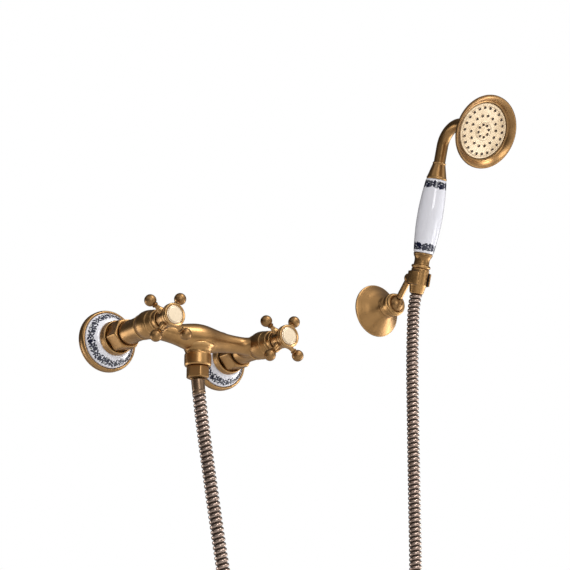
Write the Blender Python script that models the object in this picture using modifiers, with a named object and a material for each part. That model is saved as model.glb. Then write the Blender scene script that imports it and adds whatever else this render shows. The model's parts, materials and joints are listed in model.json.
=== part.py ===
"""Exposed two-handle shower mixer for a bath wall, with a hand shower in a ball-jointed wall bracket.

World frame: metres, +Z up, X to the right, the room on the -Y side. The wall is the plane Y = 0,
and the origin is the point of the wall midway between the two inlets.
Named sizes are in millimetres and MM turns them into metres where meshes are made.
Inside an assembly's own frame, local +Z runs along the assembly's axis:
out from the wall for the inlets and the bracket, up the grip for the hand shower,
and out of the spray face for the shower head.
"""

import math

import bmesh
import bpy
from mathutils import Euler, Vector

MM = 0.001
GAP = 0.3  # clearance between neighbouring solids
RUN = 0.35  # running clearance round anything that turns

# --- layout -------------------------------------------------------------------------------------
INLET_SPACING = 150.0
BODY_DEPTH = 74.6  # wall to the axis of the mixer's cross tube
BRACKET_X = 313.75
BRACKET_Z = 100.5

# --- inlets -------------------------------------------------------------------------------------
WALL_THREAD_RADIUS = 10.3
WALL_STUB_DEPTH = 20.0  # how far the union reaches into the wall
ECCENTRICITY = 6.0
UNION_RADIUS = 13.0  # radius of the union's front thread
UNION_END = 38.5
UNION_BORE = 8.0
FLANGE_RADIUS = 35.0
FLANGE_RIM = 9.6  # thickness of the rim
FLANGE_LIP = 3.4  # width of the rim in front of the ceramic
FLANGE_RISE = 8.4  # how far the cone stands up behind the rim
FLANGE_WALL = 1.7
HUB_RADIUS = 17.0
CERAMIC_THICK = 2.6
COLLAR_RADIUS = 19.6
COLLAR_LENGTH = 8.6
NUT_FLATS = 31.2
NUT_LENGTH = 19.0
NUT_TURN = math.radians(10.0)
WASHER_THICK = 1.9
SHOULDER_LENGTH = 3.2  # the collar of the inlet leg that the union nut pulls on
SHOULDER_NECK = 11.0

# --- mixer body ---------------------------------------------------------------------------------
LEG_RADIUS = 13.6
BEAD_RADIUS = 14.2
VALVE_RADIUS = 15.8  # widest, where the valve screws in
VALVE_WAIST = 14.0  # at the front face
VALVE_FRONT = 104.0
BEAD_DEPTH = 81.5  # middle of the bead ring
CROSS_WAIST = 9.6  # radius of the cross tube at its ends
CROSS_BELLY = 16.3  # radius of the cross tube in the middle
CROSS_SPREAD = 27.0
CROSS_BOW = 5.0  # how far forward the cross tube's ends stand
CROSS_BORE = 5.5
LEG_OVERLAP = 4.3  # the cross tube stops this far short of an inlet's axis
INLET_BORE = 7.0
CHAMBER_RADIUS = 10.8
CHAMBER_BACK = 66.0
OUTLET_TOP = 17.6  # top of the outlet collar below the axis
OUTLET_BORE = 6.2
STUB_RADIUS = 10.0
STUB_LENGTH = 8.0
VALVE_POCKET = 7.6  # radius of the non-return valve's seat

# --- valves -------------------------------------------------------------------------------------
HEADWORK_REAR = 8.4  # radius of the headwork behind its thread
HEADWORK_NOSE = 7.2
HEADWORK_FLANGE = 11.8
HEADWORK_REACH = 9.0  # flange's rear face to the nose's tip
FLANGE_STEP = 3.2  # thickness of the headwork's flange
DISC_RADIUS = 6.4
DISC_THICK = 2.6
SPINDLE_RADIUS = 4.0
SPINDLE_END = 130.0
BONNET_LENGTH = 13.0
BONNET_NOSE = 11.4

# --- handles ------------------------------------------------------------------------------------
HUB_BACK = 120.6
HUB_WAIST = 10.6
SPOKE_DEPTH = 130.0
SPOKE_REACH = 27.1  # hub axis to the centre of a ball
BALL_RADIUS = 6.6
DIAL_BACK = 136.5
DIAL_FRONT = 144.5
DIAL_RADIUS = 13.2
BUTTON_RADIUS = 9.9
HANDLE_REST = {"L": math.radians(56.7), "R": math.radians(52.5)}

# --- outlet and hose ----------------------------------------------------------------------------
OUTLET_RADIUS = 15.1
OUTLET_HEIGHT = 14.2
NIPPLE_RADIUS = 10.2
NIPPLE_LENGTH = 8.4
HOSE_NUT_FLATS = 22.6
HOSE_NUT_LENGTH = 13.0
HOSE_RADIUS = 7.5
FERRULE_RADIUS = 7.7
FERRULE_LENGTH = 16.8
FERRULE_LEAN = math.radians(7.5)
FERRULE_DROP = 1.2  # below the nut, along the sleeve
HOSE_BORE = 4.6
INSERT_RADIUS = 6.2
WASHER_STEP = 1.2

# --- wall bracket -------------------------------------------------------------------------------
ROSE_RADIUS = 33.0
ROSE_HEIGHT = 25.0
ROSE_NECK = 12.2
ARM_BALL_RADIUS = 9.8
SOCKET_FLOOR = 27.0
BALL_DEPTH = SOCKET_FLOOR + ARM_BALL_RADIUS + 2.2
RING_NUT_RADIUS = ARM_BALL_RADIUS + 4.5
RING_NUT_BACK = 26.6
RING_NUT_FRONT = BALL_DEPTH + ARM_BALL_RADIUS * 2 / 7
SOCKET_RADIUS = ARM_BALL_RADIUS + 1.7
ARM_ANGLE = math.radians(45.0)
ARM_RADIUS = 3.9
ARM_LENGTH = 36.0
SCREW_SPREAD = 13.5
PLATE_STUD = 5.0  # radius of the plate's stud and of the socket's bore
SOCKET_NECK = 8.6
SOCKET_WALL = 1.2

# --- cradle and hand shower ---------------------------------------------------------------------
GRIP_LEAN = math.radians(17.57)
CRADLE_Y = -(BALL_DEPTH + 45.3)
CRADLE_Z = BRACKET_Z + 22.0
CRADLE_RADIUS = 14.2
CRADLE_HEIGHT = 15.6
CRADLE_WALL = 1.6
LINER_WALL = 1.0
SLOT_WIDTH = 16.0
CONE_RADIUS = 11.0  # hose nut inside the cradle
CONE_TAIL = 8.5
CONE_BOTTOM = -18.5
CONE_TOP = 12.4
NUT_THREAD = 9.0  # radius of the tail's thread inside the nut
NOSE_RADIUS = 6.6  # end of the tail that presses on the washer
NOSE_TOP = 8.6
WASHER_RADIUS = 8.9
INSERT_STEM = 6.4
TAIL_TOP = 31.3
TAIL_RADIUS = 11.8
TAIL_WAIST = 9.4
CERAMIC_LENGTH = 91.0
CERAMIC_BOTTOM = 12.1
CERAMIC_BELLY = 15.6
CERAMIC_TOP = 12.5
INNER_TUBE_RADIUS = 5.2
NECK_LENGTH = 21.2
ELBOW_RADIUS = 7.1
ELBOW_BORE = 4.8
ELBOW_STRAIGHT = 20.0  # tube above the neck before it bends
BEND_RADIUS = 28.0
BEND_ANGLE = math.radians(101.33)
HEAD_NECK_LENGTH = 46.0  # spray rim back to the end of the bend
HEAD_SOCKET = 13.0  # how much of that the head's neck takes
HEAD_RADIUS = 44.7
PLATE_RADIUS = 34.2
PLATE_DEPTH = 6.4
PLATE_THICK = 3.0
NOZZLE_RINGS = ((22, 0.81), (14, 0.54), (8, 0.21))  # count, share of the plate's radius
NOZZLE_RADIUS = 1.4

# --- hose route, metres -------------------------------------------------------------------------
# From the mixer's ferrule round the hanging loop and up to the nut in the cradle.
HOSE_ROUTE = (
    (0.0079, -0.0746, -0.1000),
    (0.0142, -0.0744, -0.1350),
    (0.0206, -0.0742, -0.1700),
    (0.0280, -0.0738, -0.2080),
    (0.0385, -0.0734, -0.2600),
    (0.0560, -0.0728, -0.3400),
    (0.0780, -0.0722, -0.4200),
    (0.1060, -0.0715, -0.5050),
    (0.1400, -0.0706, -0.5730),
    (0.1790, -0.0698, -0.6140),
    (0.2230, -0.0690, -0.6170),
    (0.2600, -0.0684, -0.5860),
    (0.2860, -0.0680, -0.5300),
    (0.3030, -0.0676, -0.4400),
    (0.3110, -0.0674, -0.3400),
    (0.3136, -0.0674, -0.2400),
    (0.3138, -0.0676, -0.1500),
    (0.3138, -0.0679, -0.0600),
    (0.3138, -0.0688, 0.0200),
    (0.3138, -0.0722, 0.0760),
)
HOSE_SPLIT = -0.19  # height on the rising leg where the moving riser begins
HOSE_STEP = 0.034  # spacing of the tube's rings

ROUND = 16
SMALL = 8
BROAD = 20

SIDES = {"L": -1.0, "R": 1.0}
WALL_TURN = Euler((math.pi / 2, 0.0, 0.0))


# --- scene, materials and placing ----------------------------------------------------------------
def clear_scene():
    for old in list(bpy.data.objects):
        bpy.data.objects.remove(old, do_unlink=True)


def new_collection(name):
    made = bpy.data.collections.new(name)
    bpy.context.scene.collection.children.link(made)
    return made


def new_material(name, colour, roughness, metallic):
    made = bpy.data.materials.new(name)
    made.use_nodes = True
    shader = made.node_tree.nodes["Principled BSDF"]
    shader.inputs["Base Color"].default_value = (*colour, 1.0)
    shader.inputs["Roughness"].default_value = roughness
    shader.inputs["Metallic"].default_value = metallic
    made.diffuse_color = (*colour, 1.0)
    return made


def new_frame(name, location, rotation, parent=None):
    """An empty that carries an assembly; its location is in millimetres."""
    frame = bpy.data.objects.new(name, None)
    FRAMES.objects.link(frame)
    frame.location = Vector(location) * MM
    frame.rotation_euler = rotation
    frame.parent = parent
    return frame


def add_piece(name, mesh, finish, frame=None):
    piece = bpy.data.objects.new(name, mesh)
    PARTS.objects.link(piece)
    piece.parent = frame
    mesh.materials.append(finish)
    return piece


def to_cutter(piece):
    """Take a helper solid out of the model: it only shapes other pieces."""
    PARTS.objects.unlink(piece)
    CUTTERS.objects.link(piece)
    piece.hide_render = True
    piece.display_type = "WIRE"
    return piece


def combine(piece, other, operation, solver="EXACT"):
    step = piece.modifiers.new(other.name, "BOOLEAN")
    step.operation = operation
    step.solver = solver
    step.object = to_cutter(other)


# --- shapes ---------------------------------------------------------------------------------------
def turned(name, profile, finish, frame=None, closed=False, steps=ROUND, at=(0, 0, 0), turn=(0, 0, 0)):
    """A turned solid about local Z: (radius, height) points down the outer side; a closed profile is a ring."""
    mesh = bpy.data.meshes.new(name)
    points = [(radius * MM, 0.0, height * MM) for radius, height in profile]
    edges = [(i, i + 1) for i in range(len(points) - 1)]
    if closed:
        edges.append((len(points) - 1, 0))
    mesh.from_pydata(points, edges, [])
    piece = add_piece(name, mesh, finish, frame)
    piece.location = Vector(at) * MM
    piece.rotation_euler = turn
    screw = piece.modifiers.new("Turn", "SCREW")
    screw.axis = "Z"
    screw.angle = 2 * math.pi
    screw.steps = screw.render_steps = steps
    screw.use_merge_vertices = True
    screw.merge_threshold = 1e-6
    screw.use_smooth_shade = True
    return piece


def solid(name, outline, finish, frame=None, **extra):
    """A turned solid without a bore: the outline's ends are closed on the axis."""
    top, bottom = outline[0][1], outline[-1][1]
    return turned(name, [(0, top), *outline, (0, bottom)], finish, frame, **extra)


def rod(name, radius, low, high, finish, frame=None, **extra):
    return solid(name, [(radius, high), (radius, low)], finish, frame, **extra)


def tube_ring(name, outer, inner, low, high, finish, frame=None, **extra):
    profile = [(inner, high), (outer, high), (outer, low), (inner, low)]
    return turned(name, profile, finish, frame, closed=True, **extra)


def bore(piece, frame, steps_of_bore, steps=ROUND, at=(0, 0, 0), turn=(0, 0, 0), solver="EXACT"):
    """Cut a stepped round hole: (radius, low, high) for each step, top step first, steps touching."""
    outline = []
    for radius, low, high in steps_of_bore:
        outline += [(radius, high), (radius, low)]
    cutter = solid(f"{piece.name}_bore_{len(piece.modifiers)}", outline, piece.data.materials[0], frame,
                   steps=steps, at=at, turn=turn)
    combine(piece, cutter, "DIFFERENCE", solver)


def block(name, size, centre, finish, frame=None, turn=(0, 0, 0)):
    mesh = bpy.data.meshes.new(name)
    shape = bmesh.new()
    bmesh.ops.create_cube(shape, size=1.0)
    bmesh.ops.scale(shape, vec=Vector(size) * MM, verts=shape.verts)
    shape.to_mesh(mesh)
    shape.free()
    piece = add_piece(name, mesh, finish, frame)
    piece.location = Vector(centre) * MM
    piece.rotation_euler = turn
    return piece


def hex_nut(name, flats, low, high, finish, frame, chamfer, turn=0.0):
    """A hexagon bar with both ends chamfered by a turned solid."""
    corner = flats / math.sqrt(3)
    mesh = bpy.data.meshes.new(name)
    shape = bmesh.new()
    bmesh.ops.create_cone(shape, cap_ends=True, segments=6, radius1=corner * MM, radius2=corner * MM,
                          depth=(high - low) * MM)
    bmesh.ops.translate(shape, vec=(0, 0, (high + low) / 2 * MM), verts=shape.verts)
    shape.to_mesh(mesh)
    shape.free()
    nut = add_piece(name, mesh, finish, frame)
    nut.rotation_euler = (0, 0, turn)
    full = corner + 0.4
    lens = solid(f"{name}_lens", [(full - chamfer, high + 0.1), (full, high - chamfer * 0.6),
                                  (full, low + chamfer * 0.6), (full - chamfer, low - 0.1)],
                 finish, frame, steps=ROUND)
    combine(nut, lens, "INTERSECT")
    return nut


def arc(radius, centre, first, last, count):
    """Points of a circle in the profile plane, angles in degrees from the +radius direction."""
    angles = [math.radians(first + (last - first) * i / (count - 1)) for i in range(count)]
    return [(centre[0] + radius * math.cos(a), centre[1] + radius * math.sin(a)) for a in angles]


def swept(name, points, radius, finish, frame=None, sides_level=3, radii=None):
    """A round bar along points in millimetres, as a closed mesh that can be cut; radii scale it point by point."""
    curve = bpy.data.curves.new(name, "CURVE")
    curve.dimensions = "3D"
    curve.bevel_depth = radius * MM
    curve.bevel_resolution = sides_level
    curve.use_fill_caps = True
    line = curve.splines.new("POLY")
    line.points.add(len(points) - 1)
    for slot, point in zip(line.points, points):
        slot.co = (*(Vector(point) * MM), 1.0)
    for slot, scale in zip(line.points, radii or ()):
        slot.radius = scale
    guide = bpy.data.objects.new(f"{name}_guide", curve)
    PARTS.objects.link(guide)
    graph = bpy.context.evaluated_depsgraph_get()
    mesh = bpy.data.meshes.new_from_object(guide.evaluated_get(graph))
    mesh.name = name
    bpy.data.objects.remove(guide)
    shape = bmesh.new()
    shape.from_mesh(mesh)
    bmesh.ops.remove_doubles(shape, verts=shape.verts, dist=1e-6)
    bmesh.ops.recalc_face_normals(shape, faces=shape.faces)
    shape.to_mesh(mesh)
    shape.free()
    mesh.materials.clear()
    return add_piece(name, mesh, finish, frame)


# --- inlet line -----------------------------------------------------------------------------------
CONE_LOW = FLANGE_RIM - 2.0  # seat of the ceramic at the rim
CONE_HIGH = CONE_LOW + FLANGE_RISE + 1.6  # hub face
CERAMIC_OUTER = FLANGE_RADIUS - FLANGE_LIP
NUT_BACK = CONE_HIGH + GAP + CERAMIC_THICK + GAP + COLLAR_LENGTH + 0.8
NUT_FRONT = NUT_BACK + NUT_LENGTH
WASHER_FRONT = UNION_END + GAP + WASHER_THICK
SHOULDER_BACK = WASHER_FRONT + GAP
SHOULDER_FRONT = SHOULDER_BACK + SHOULDER_LENGTH
LEG_BACK = NUT_FRONT + GAP


def inlet_union(side, frame):
    """Eccentric union: a stub in the wall, a fat middle and a front thread on the mixer's centre line."""
    piece = rod(f"inlet_union_{side}", UNION_RADIUS, 4.0, UNION_END, BRASS_RAW, frame)
    offset = (0, -ECCENTRICITY, 0)
    combine(piece, rod(f"union_middle_{side}", UNION_RADIUS + 1.8, 1.0, 11.0, BRASS_RAW, frame,
                       at=(0, -ECCENTRICITY / 3, 0)), "UNION")
    combine(piece, rod(f"union_stub_{side}", WALL_THREAD_RADIUS, -WALL_STUB_DEPTH, 6.0, BRASS_RAW, frame,
                       at=offset), "UNION")
    bore(piece, frame, [(UNION_BORE, 5.0, UNION_END + 1)])
    bore(piece, frame, [(UNION_BORE - 2.0, -WALL_STUB_DEPTH - 1, 8.0)], at=offset)


def wall_flange(side, frame):
    """Dish with a thick rounded rim and a cone that carries the ceramic ring."""
    hole = UNION_RADIUS + RUN
    wall = FLANGE_WALL
    profile = [
        (hole, CONE_HIGH), (HUB_RADIUS, CONE_HIGH), (CERAMIC_OUTER + 0.1, CONE_LOW), (CERAMIC_OUTER + GAP, CONE_LOW),
        (CERAMIC_OUTER + GAP, FLANGE_RIM - 0.5), (CERAMIC_OUTER + 1.0, FLANGE_RIM),
        (FLANGE_RADIUS - 1.3, FLANGE_RIM - 0.3), (FLANGE_RADIUS - 0.2, FLANGE_RIM - 1.8),
        (FLANGE_RADIUS, FLANGE_RIM * 0.5), (FLANGE_RADIUS - 0.5, 0.6), (FLANGE_RADIUS - 1.0, 0.0),
        (FLANGE_RADIUS - 4.4, 0.0), (CERAMIC_OUTER - 2.0, CONE_LOW - wall), (HUB_RADIUS - 0.6, CONE_HIGH - wall - 0.6),
        (hole, CONE_HIGH - wall - 0.6),
    ]
    turned(f"wall_flange_{side}", profile, BRASS, frame, closed=True, steps=BROAD)


def ceramic_ring(side, frame):
    """Glazed ring on the dish's cone, slightly crowned."""
    inner = HUB_RADIUS + 0.4
    base = CONE_LOW + GAP + 0.15
    top = CONE_HIGH + GAP + 0.1
    edge = CERAMIC_OUTER - 0.1
    crown_r, crown_z = (inner + edge) / 2 + 1.0, (base + top) / 2 + CERAMIC_THICK + 1.1
    profile = [
        (inner, top + CERAMIC_THICK), (inner + 1.2, top + CERAMIC_THICK), (crown_r, crown_z),
        (edge - 0.8, base + CERAMIC_THICK - 0.4), (edge, base + CERAMIC_THICK - 1.2), (edge, base), (inner, top),
    ]
    turned(f"ceramic_ring_{side}", profile, CERAMIC, frame, closed=True, steps=BROAD)


def flange_collar(side, frame):
    """Brass collar that screws on the union and clamps the ceramic ring."""
    hole = UNION_RADIUS + RUN
    seat = CONE_HIGH + GAP + 0.1 + CERAMIC_THICK + GAP
    front = seat + COLLAR_LENGTH
    spigot = HUB_RADIUS + 0.4 - RUN
    profile = [
        (COLLAR_RADIUS - 2.6, front - 0.6), (COLLAR_RADIUS - 2.0, front), (COLLAR_RADIUS - 1.0, front),
        (COLLAR_RADIUS - 0.3, front - 1.2), (COLLAR_RADIUS, seat + 1.0), (COLLAR_RADIUS - 0.2, seat),
        (spigot, seat), (spigot, CONE_HIGH + GAP), (hole, CONE_HIGH + GAP), (hole, front - 3.4),
    ]
    turned(f"flange_collar_{side}", profile, BRASS, frame, closed=True)


def union_nut(side, frame):
    nut = hex_nut(f"union_nut_{side}", NUT_FLATS, NUT_BACK, NUT_FRONT, BRASS, frame, 2.2, NUT_TURN)
    thread = UNION_RADIUS + RUN
    lip = SHOULDER_FRONT + GAP
    bore(nut, frame, [(SHOULDER_NECK + RUN, lip, NUT_FRONT + 1), (thread, NUT_BACK - 1, lip)])


def inlet_washer(side, frame):
    tube_ring(f"inlet_washer_{side}", UNION_RADIUS - 0.4, UNION_BORE, UNION_END + GAP, WASHER_FRONT, RUBBER, frame,
              steps=SMALL * 2)


# --- mixer body -----------------------------------------------------------------------------------
def cross_radius(x):
    """Radius of the cross tube: a belly in the middle that runs out to a waist."""
    return CROSS_WAIST + (CROSS_BELLY - CROSS_WAIST) * math.exp(-((x / CROSS_SPREAD) ** 2))


def leg_outline():
    """Inlet leg and valve housing, from the front face back to the union nut's shoulder."""
    return [
        (VALVE_WAIST - 0.4, VALVE_FRONT), (VALVE_WAIST, VALVE_FRONT - 0.6), (VALVE_RADIUS - 0.6, VALVE_FRONT - 6.0),
        (VALVE_RADIUS, VALVE_FRONT - 11.0), (VALVE_RADIUS - 0.4, BEAD_DEPTH + 7.0), (LEG_RADIUS - 0.2, BEAD_DEPTH + 2.6),
        (BEAD_RADIUS, BEAD_DEPTH + 1.2), (BEAD_RADIUS, BEAD_DEPTH - 1.2), (LEG_RADIUS - 0.7, BEAD_DEPTH - 2.0),
        (LEG_RADIUS, LEG_BACK + 2.0), (LEG_RADIUS - 1.2, LEG_BACK), (SHOULDER_NECK, LEG_BACK),
        (SHOULDER_NECK, SHOULDER_FRONT), (UNION_RADIUS - 0.1, SHOULDER_FRONT), (UNION_RADIUS - 0.1, SHOULDER_BACK),
    ]


def mixer_body(frames):
    half = INLET_SPACING / 2
    reach = half - LEG_OVERLAP
    stations = [reach * k / 6 for k in range(-6, 7)]
    centre = new_frame("mixer_centre", (0, -BODY_DEPTH, 0), (0, 0, 0))
    path = [Vector((x, -CROSS_BOW * (x / half) ** 2, 0)) for x in stations]
    body = swept("mixer_body", path, 1.0, BRASS, centre, sides_level=6, radii=[cross_radius(x) for x in stations])
    for side in SIDES:
        combine(body, solid(f"leg_{side}", leg_outline(), BRASS, frames[side]), "UNION")
    neck = [(CROSS_BELLY - 5.0, 0.0), (OUTLET_RADIUS - 1.4, -8.0), (OUTLET_RADIUS - 1.0, -OUTLET_TOP),
            (STUB_RADIUS, -OUTLET_TOP), (STUB_RADIUS, -OUTLET_TOP - STUB_LENGTH)]
    combine(body, solid("outlet_neck", neck, BRASS, centre), "UNION")
    combine(body, swept("cross_bore", path, CROSS_BORE, BRASS, centre, sides_level=2), "DIFFERENCE")
    bore(body, centre, [(OUTLET_BORE, -OUTLET_TOP - STUB_LENGTH - 1, 0)], steps=SMALL)
    for side in SIDES:
        bore(body, frames[side], [(CHAMBER_RADIUS, CHAMBER_BACK, VALVE_FRONT + 1),
                                  (INLET_BORE - 2.0, CHAMBER_BACK - 4.0, CHAMBER_BACK),
                                  (INLET_BORE, SHOULDER_BACK - 1, CHAMBER_BACK - 4.0)], solver="MANIFOLD")


# --- valves ---------------------------------------------------------------------------------------
DISC_BACK = CHAMBER_BACK + 3.6
MOVING_BACK = DISC_BACK + DISC_THICK + GAP
DRIVER_BACK = MOVING_BACK + DISC_THICK + GAP
HEAD_FLANGE = VALVE_FRONT + GAP
BONNET_BACK = VALVE_FRONT + GAP


def valve_headwork(side, frame):
    """Screw-in valve body: rear barrel with windows for the water, threaded front, flange and nose."""
    thread = CHAMBER_RADIUS - RUN
    piece = solid(f"valve_headwork_{side}", [
        (HEADWORK_NOSE, HEAD_FLANGE + HEADWORK_REACH), (HEADWORK_NOSE, HEAD_FLANGE + FLANGE_STEP),
        (HEADWORK_FLANGE, HEAD_FLANGE + FLANGE_STEP), (HEADWORK_FLANGE, HEAD_FLANGE),
        (thread, HEAD_FLANGE), (thread, VALVE_FRONT - 14.0), (HEADWORK_REAR, VALVE_FRONT - 15.0),
        (HEADWORK_REAR, CHAMBER_BACK + GAP)], VALVE_BRASS, frame)
    bore(piece, frame, [(SPINDLE_RADIUS + RUN, DRIVER_BACK + 3.2, HEAD_FLANGE + 10.0),
                        (DISC_RADIUS + RUN, DISC_BACK - 0.4, DRIVER_BACK + 3.2),
                        (DISC_RADIUS - 1.4, CHAMBER_BACK - 1.0, DISC_BACK - 0.4)], steps=SMALL * 2)
    window = block(f"headwork_window_{side}", (30, 7.0, 5.0), (0, 0, DRIVER_BACK + 0.2), VALVE_BRASS, frame)
    combine(piece, window, "DIFFERENCE")


def ceramic_disc(name, low, finish, frame, turn):
    """Valve disc with two ports."""
    disc = rod(name, DISC_RADIUS, low, low + DISC_THICK, finish, frame, steps=SMALL)
    for k, sign in enumerate((-1, 1)):
        reach = DISC_RADIUS * 0.52
        at = (sign * reach * math.cos(turn), sign * reach * math.sin(turn), 0)
        bore(disc, frame, [(DISC_RADIUS * 0.3, low - 1, low + DISC_THICK + 1)], steps=8, at=at)


def spindle(side, frame):
    """Driver plate, shaft and squared end in one, with a tapped hole for the handle screw."""
    piece = solid(f"spindle_{side}", [
        (SPINDLE_RADIUS, SPINDLE_END), (SPINDLE_RADIUS, DRIVER_BACK + 2.6), (DISC_RADIUS, DRIVER_BACK + 2.6),
        (DISC_RADIUS, DRIVER_BACK)], VALVE_BRASS, frame, steps=SMALL)
    bore(piece, frame, [(2.1, SPINDLE_END - 9.0, SPINDLE_END + 1)], steps=8)


def bonnet(side, frame):
    """Turned cover over the headwork's flange, with a ring at its front edge."""
    front = BONNET_BACK + BONNET_LENGTH
    nose = front + 2.4
    pocket = HEADWORK_FLANGE + RUN
    tube = HEADWORK_NOSE + RUN
    floor = HEAD_FLANGE + FLANGE_STEP + GAP
    profile = [
        (tube, nose), (BONNET_NOSE - 0.6, nose), (BONNET_NOSE, nose - 0.8), (BONNET_NOSE, front - 3.6),
        (BONNET_NOSE + 1.3, front - 4.4), (BONNET_NOSE + 1.4, front - 5.6), (BONNET_NOSE + 0.7, front - 6.4),
        (BONNET_NOSE + 1.5, front - 7.4), (VALVE_WAIST - 0.2, BONNET_BACK + 1.0), (VALVE_WAIST - 0.4, BONNET_BACK),
        (pocket, BONNET_BACK), (pocket, floor), (tube, floor),
    ]
    turned(f"bonnet_{side}", profile, BRASS, frame, closed=True)


def stem_seal(side, frame):
    """Rubber ring between the headwork's nose and the bonnet's front bore."""
    low = HEAD_FLANGE + HEADWORK_REACH + GAP
    tube_ring(f"stem_seal_{side}", HEADWORK_NOSE - 0.2, SPINDLE_RADIUS + RUN, low, low + 1.8, RUBBER, frame, steps=SMALL)


# --- handles --------------------------------------------------------------------------------------
def cross_handle(side, frame):
    """Hub with a dial at the front and four tapered spokes that end in balls."""
    hub = solid(f"cross_handle_{side}", [
        (DIAL_RADIUS - 1.0, DIAL_FRONT - 0.8), (DIAL_RADIUS, DIAL_FRONT - 1.8), (DIAL_RADIUS, DIAL_BACK + 1.4),
        (DIAL_RADIUS - 1.2, DIAL_BACK), (HUB_WAIST + 0.9, DIAL_BACK - 1.6),
        (HUB_WAIST + 0.4, SPOKE_DEPTH), (HUB_WAIST, SPOKE_DEPTH - 4.0), (HUB_WAIST - 1.4, HUB_BACK)], BRASS, frame)
    spoke = [(2.4, SPOKE_REACH - BALL_RADIUS + 0.7), (3.5, SPOKE_REACH - BALL_RADIUS - 0.2),
             (3.5, SPOKE_REACH - BALL_RADIUS - 1.4), (2.4, SPOKE_REACH - BALL_RADIUS - 2.4), (3.1, HUB_WAIST + 0.5),
             (3.3, 5.5)]
    ball = arc(BALL_RADIUS, (0, SPOKE_REACH), 78, -66, 7)
    for k in range(4):
        angle = HANDLE_REST[side] + k * math.pi / 2
        arm = solid(f"spoke_{side}{k}", [*ball, *spoke], BRASS, frame, steps=SMALL, at=(0, 0, SPOKE_DEPTH),
                    turn=Euler((0, math.pi / 2, angle)))
        combine(hub, arm, "UNION")
    web = SPINDLE_END + 0.6
    bore(hub, frame, [(BUTTON_RADIUS + RUN, DIAL_FRONT - 3.4, DIAL_FRONT + 1), (6.0, web + 2.0, DIAL_FRONT - 3.4),
                      (2.4, web, web + 2.0), (SPINDLE_RADIUS + RUN, HUB_BACK - 1, web)])


def index_button(side, frame):
    solid(f"index_button_{side}", [
        (BUTTON_RADIUS - 1.6, DIAL_FRONT), (BUTTON_RADIUS, DIAL_FRONT - 0.5), (BUTTON_RADIUS, DIAL_FRONT - 3.1)],
        BRASS_POLISHED, frame)


def handle_screw(side, frame):
    seat = SPINDLE_END + 2.6 + GAP
    solid(f"handle_screw_{side}", [(3.2, seat + 2.6), (4.2, seat + 2.0), (4.2, seat), (1.7, seat),
                                   (1.7, SPINDLE_END - 7.0)], STEEL, frame, steps=SMALL)


# --- outlet and the hose's lower end ----------------------------------------------------------------
OUTLET_BOTTOM = -OUTLET_TOP - GAP - OUTLET_HEIGHT
NIPPLE_BOTTOM = OUTLET_BOTTOM - NIPPLE_LENGTH
HOSE_NUT_BOTTOM = OUTLET_BOTTOM - GAP - HOSE_NUT_LENGTH


def outlet_collar(frame):
    """Round adaptor under the body, with the thread that the hose nut screws on."""
    top = -OUTLET_TOP - GAP
    stub = -OUTLET_TOP - STUB_LENGTH
    body = solid("outlet_collar", [
        (OUTLET_RADIUS - 0.6, top), (OUTLET_RADIUS, top - 0.6), (OUTLET_RADIUS, OUTLET_BOTTOM + 1.0),
        (OUTLET_RADIUS - 1.0, OUTLET_BOTTOM), (NIPPLE_RADIUS, OUTLET_BOTTOM), (NIPPLE_RADIUS, NIPPLE_BOTTOM)],
        BRASS, frame)
    bore(body, frame, [(STUB_RADIUS + RUN, stub - GAP, top + 1), (VALVE_POCKET, NIPPLE_BOTTOM + 3.6, stub - GAP),
                       (5.4, NIPPLE_BOTTOM - 1, NIPPLE_BOTTOM + 3.6)])


def check_valve(frame):
    """Plastic non-return cartridge inside the adaptor."""
    stub = -OUTLET_TOP - STUB_LENGTH
    tube_ring("check_valve", VALVE_POCKET - GAP, 3.6, NIPPLE_BOTTOM + 3.9, stub - 2 * GAP - 0.4, PLASTIC, frame, steps=SMALL)


def hose_nut(frame):
    nut = hex_nut("hose_nut", HOSE_NUT_FLATS, HOSE_NUT_BOTTOM, OUTLET_BOTTOM - GAP, BRASS, frame, 1.8,
                  math.radians(12))
    floor = NIPPLE_BOTTOM - WASHER_STEP - 2.4 - GAP
    bore(nut, frame, [(NIPPLE_RADIUS + RUN, floor, OUTLET_BOTTOM + 1), (INSERT_RADIUS + 1.2, HOSE_NUT_BOTTOM - 1, floor)])


def hose_washer(frame):
    top = NIPPLE_BOTTOM - GAP
    tube_ring("hose_washer", NIPPLE_RADIUS - 0.2, HOSE_BORE + 0.4, top - WASHER_STEP, top, RUBBER, frame, steps=SMALL * 2)


def lower_ferrule(frame):
    """Crimped sleeve of the hose; it leans a little in the nut's loose hole."""
    tilted = new_frame("ferrule_frame", (0, 0, HOSE_NUT_BOTTOM), Euler((0, -FERRULE_LEAN, 0)), frame)
    top = -FERRULE_DROP
    tube_ring("hose_ferrule", FERRULE_RADIUS, HOSE_BORE, top - FERRULE_LENGTH, top, BRASS_DARK, tilted)
    low = NIPPLE_BOTTOM - 2 * GAP - WASHER_STEP
    flange = solid("hose_insert", [(NIPPLE_RADIUS - 0.3, low), (NIPPLE_RADIUS - 0.3, low - 1.2), (INSERT_RADIUS, low - 1.4),
                                   (INSERT_RADIUS, HOSE_NUT_BOTTOM - 0.1)], BRASS_RAW, frame, steps=SMALL * 2)
    bore(flange, frame, [(HOSE_BORE, HOSE_NUT_BOTTOM - 1, low + 1)], steps=SMALL)
    return tilted


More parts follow.
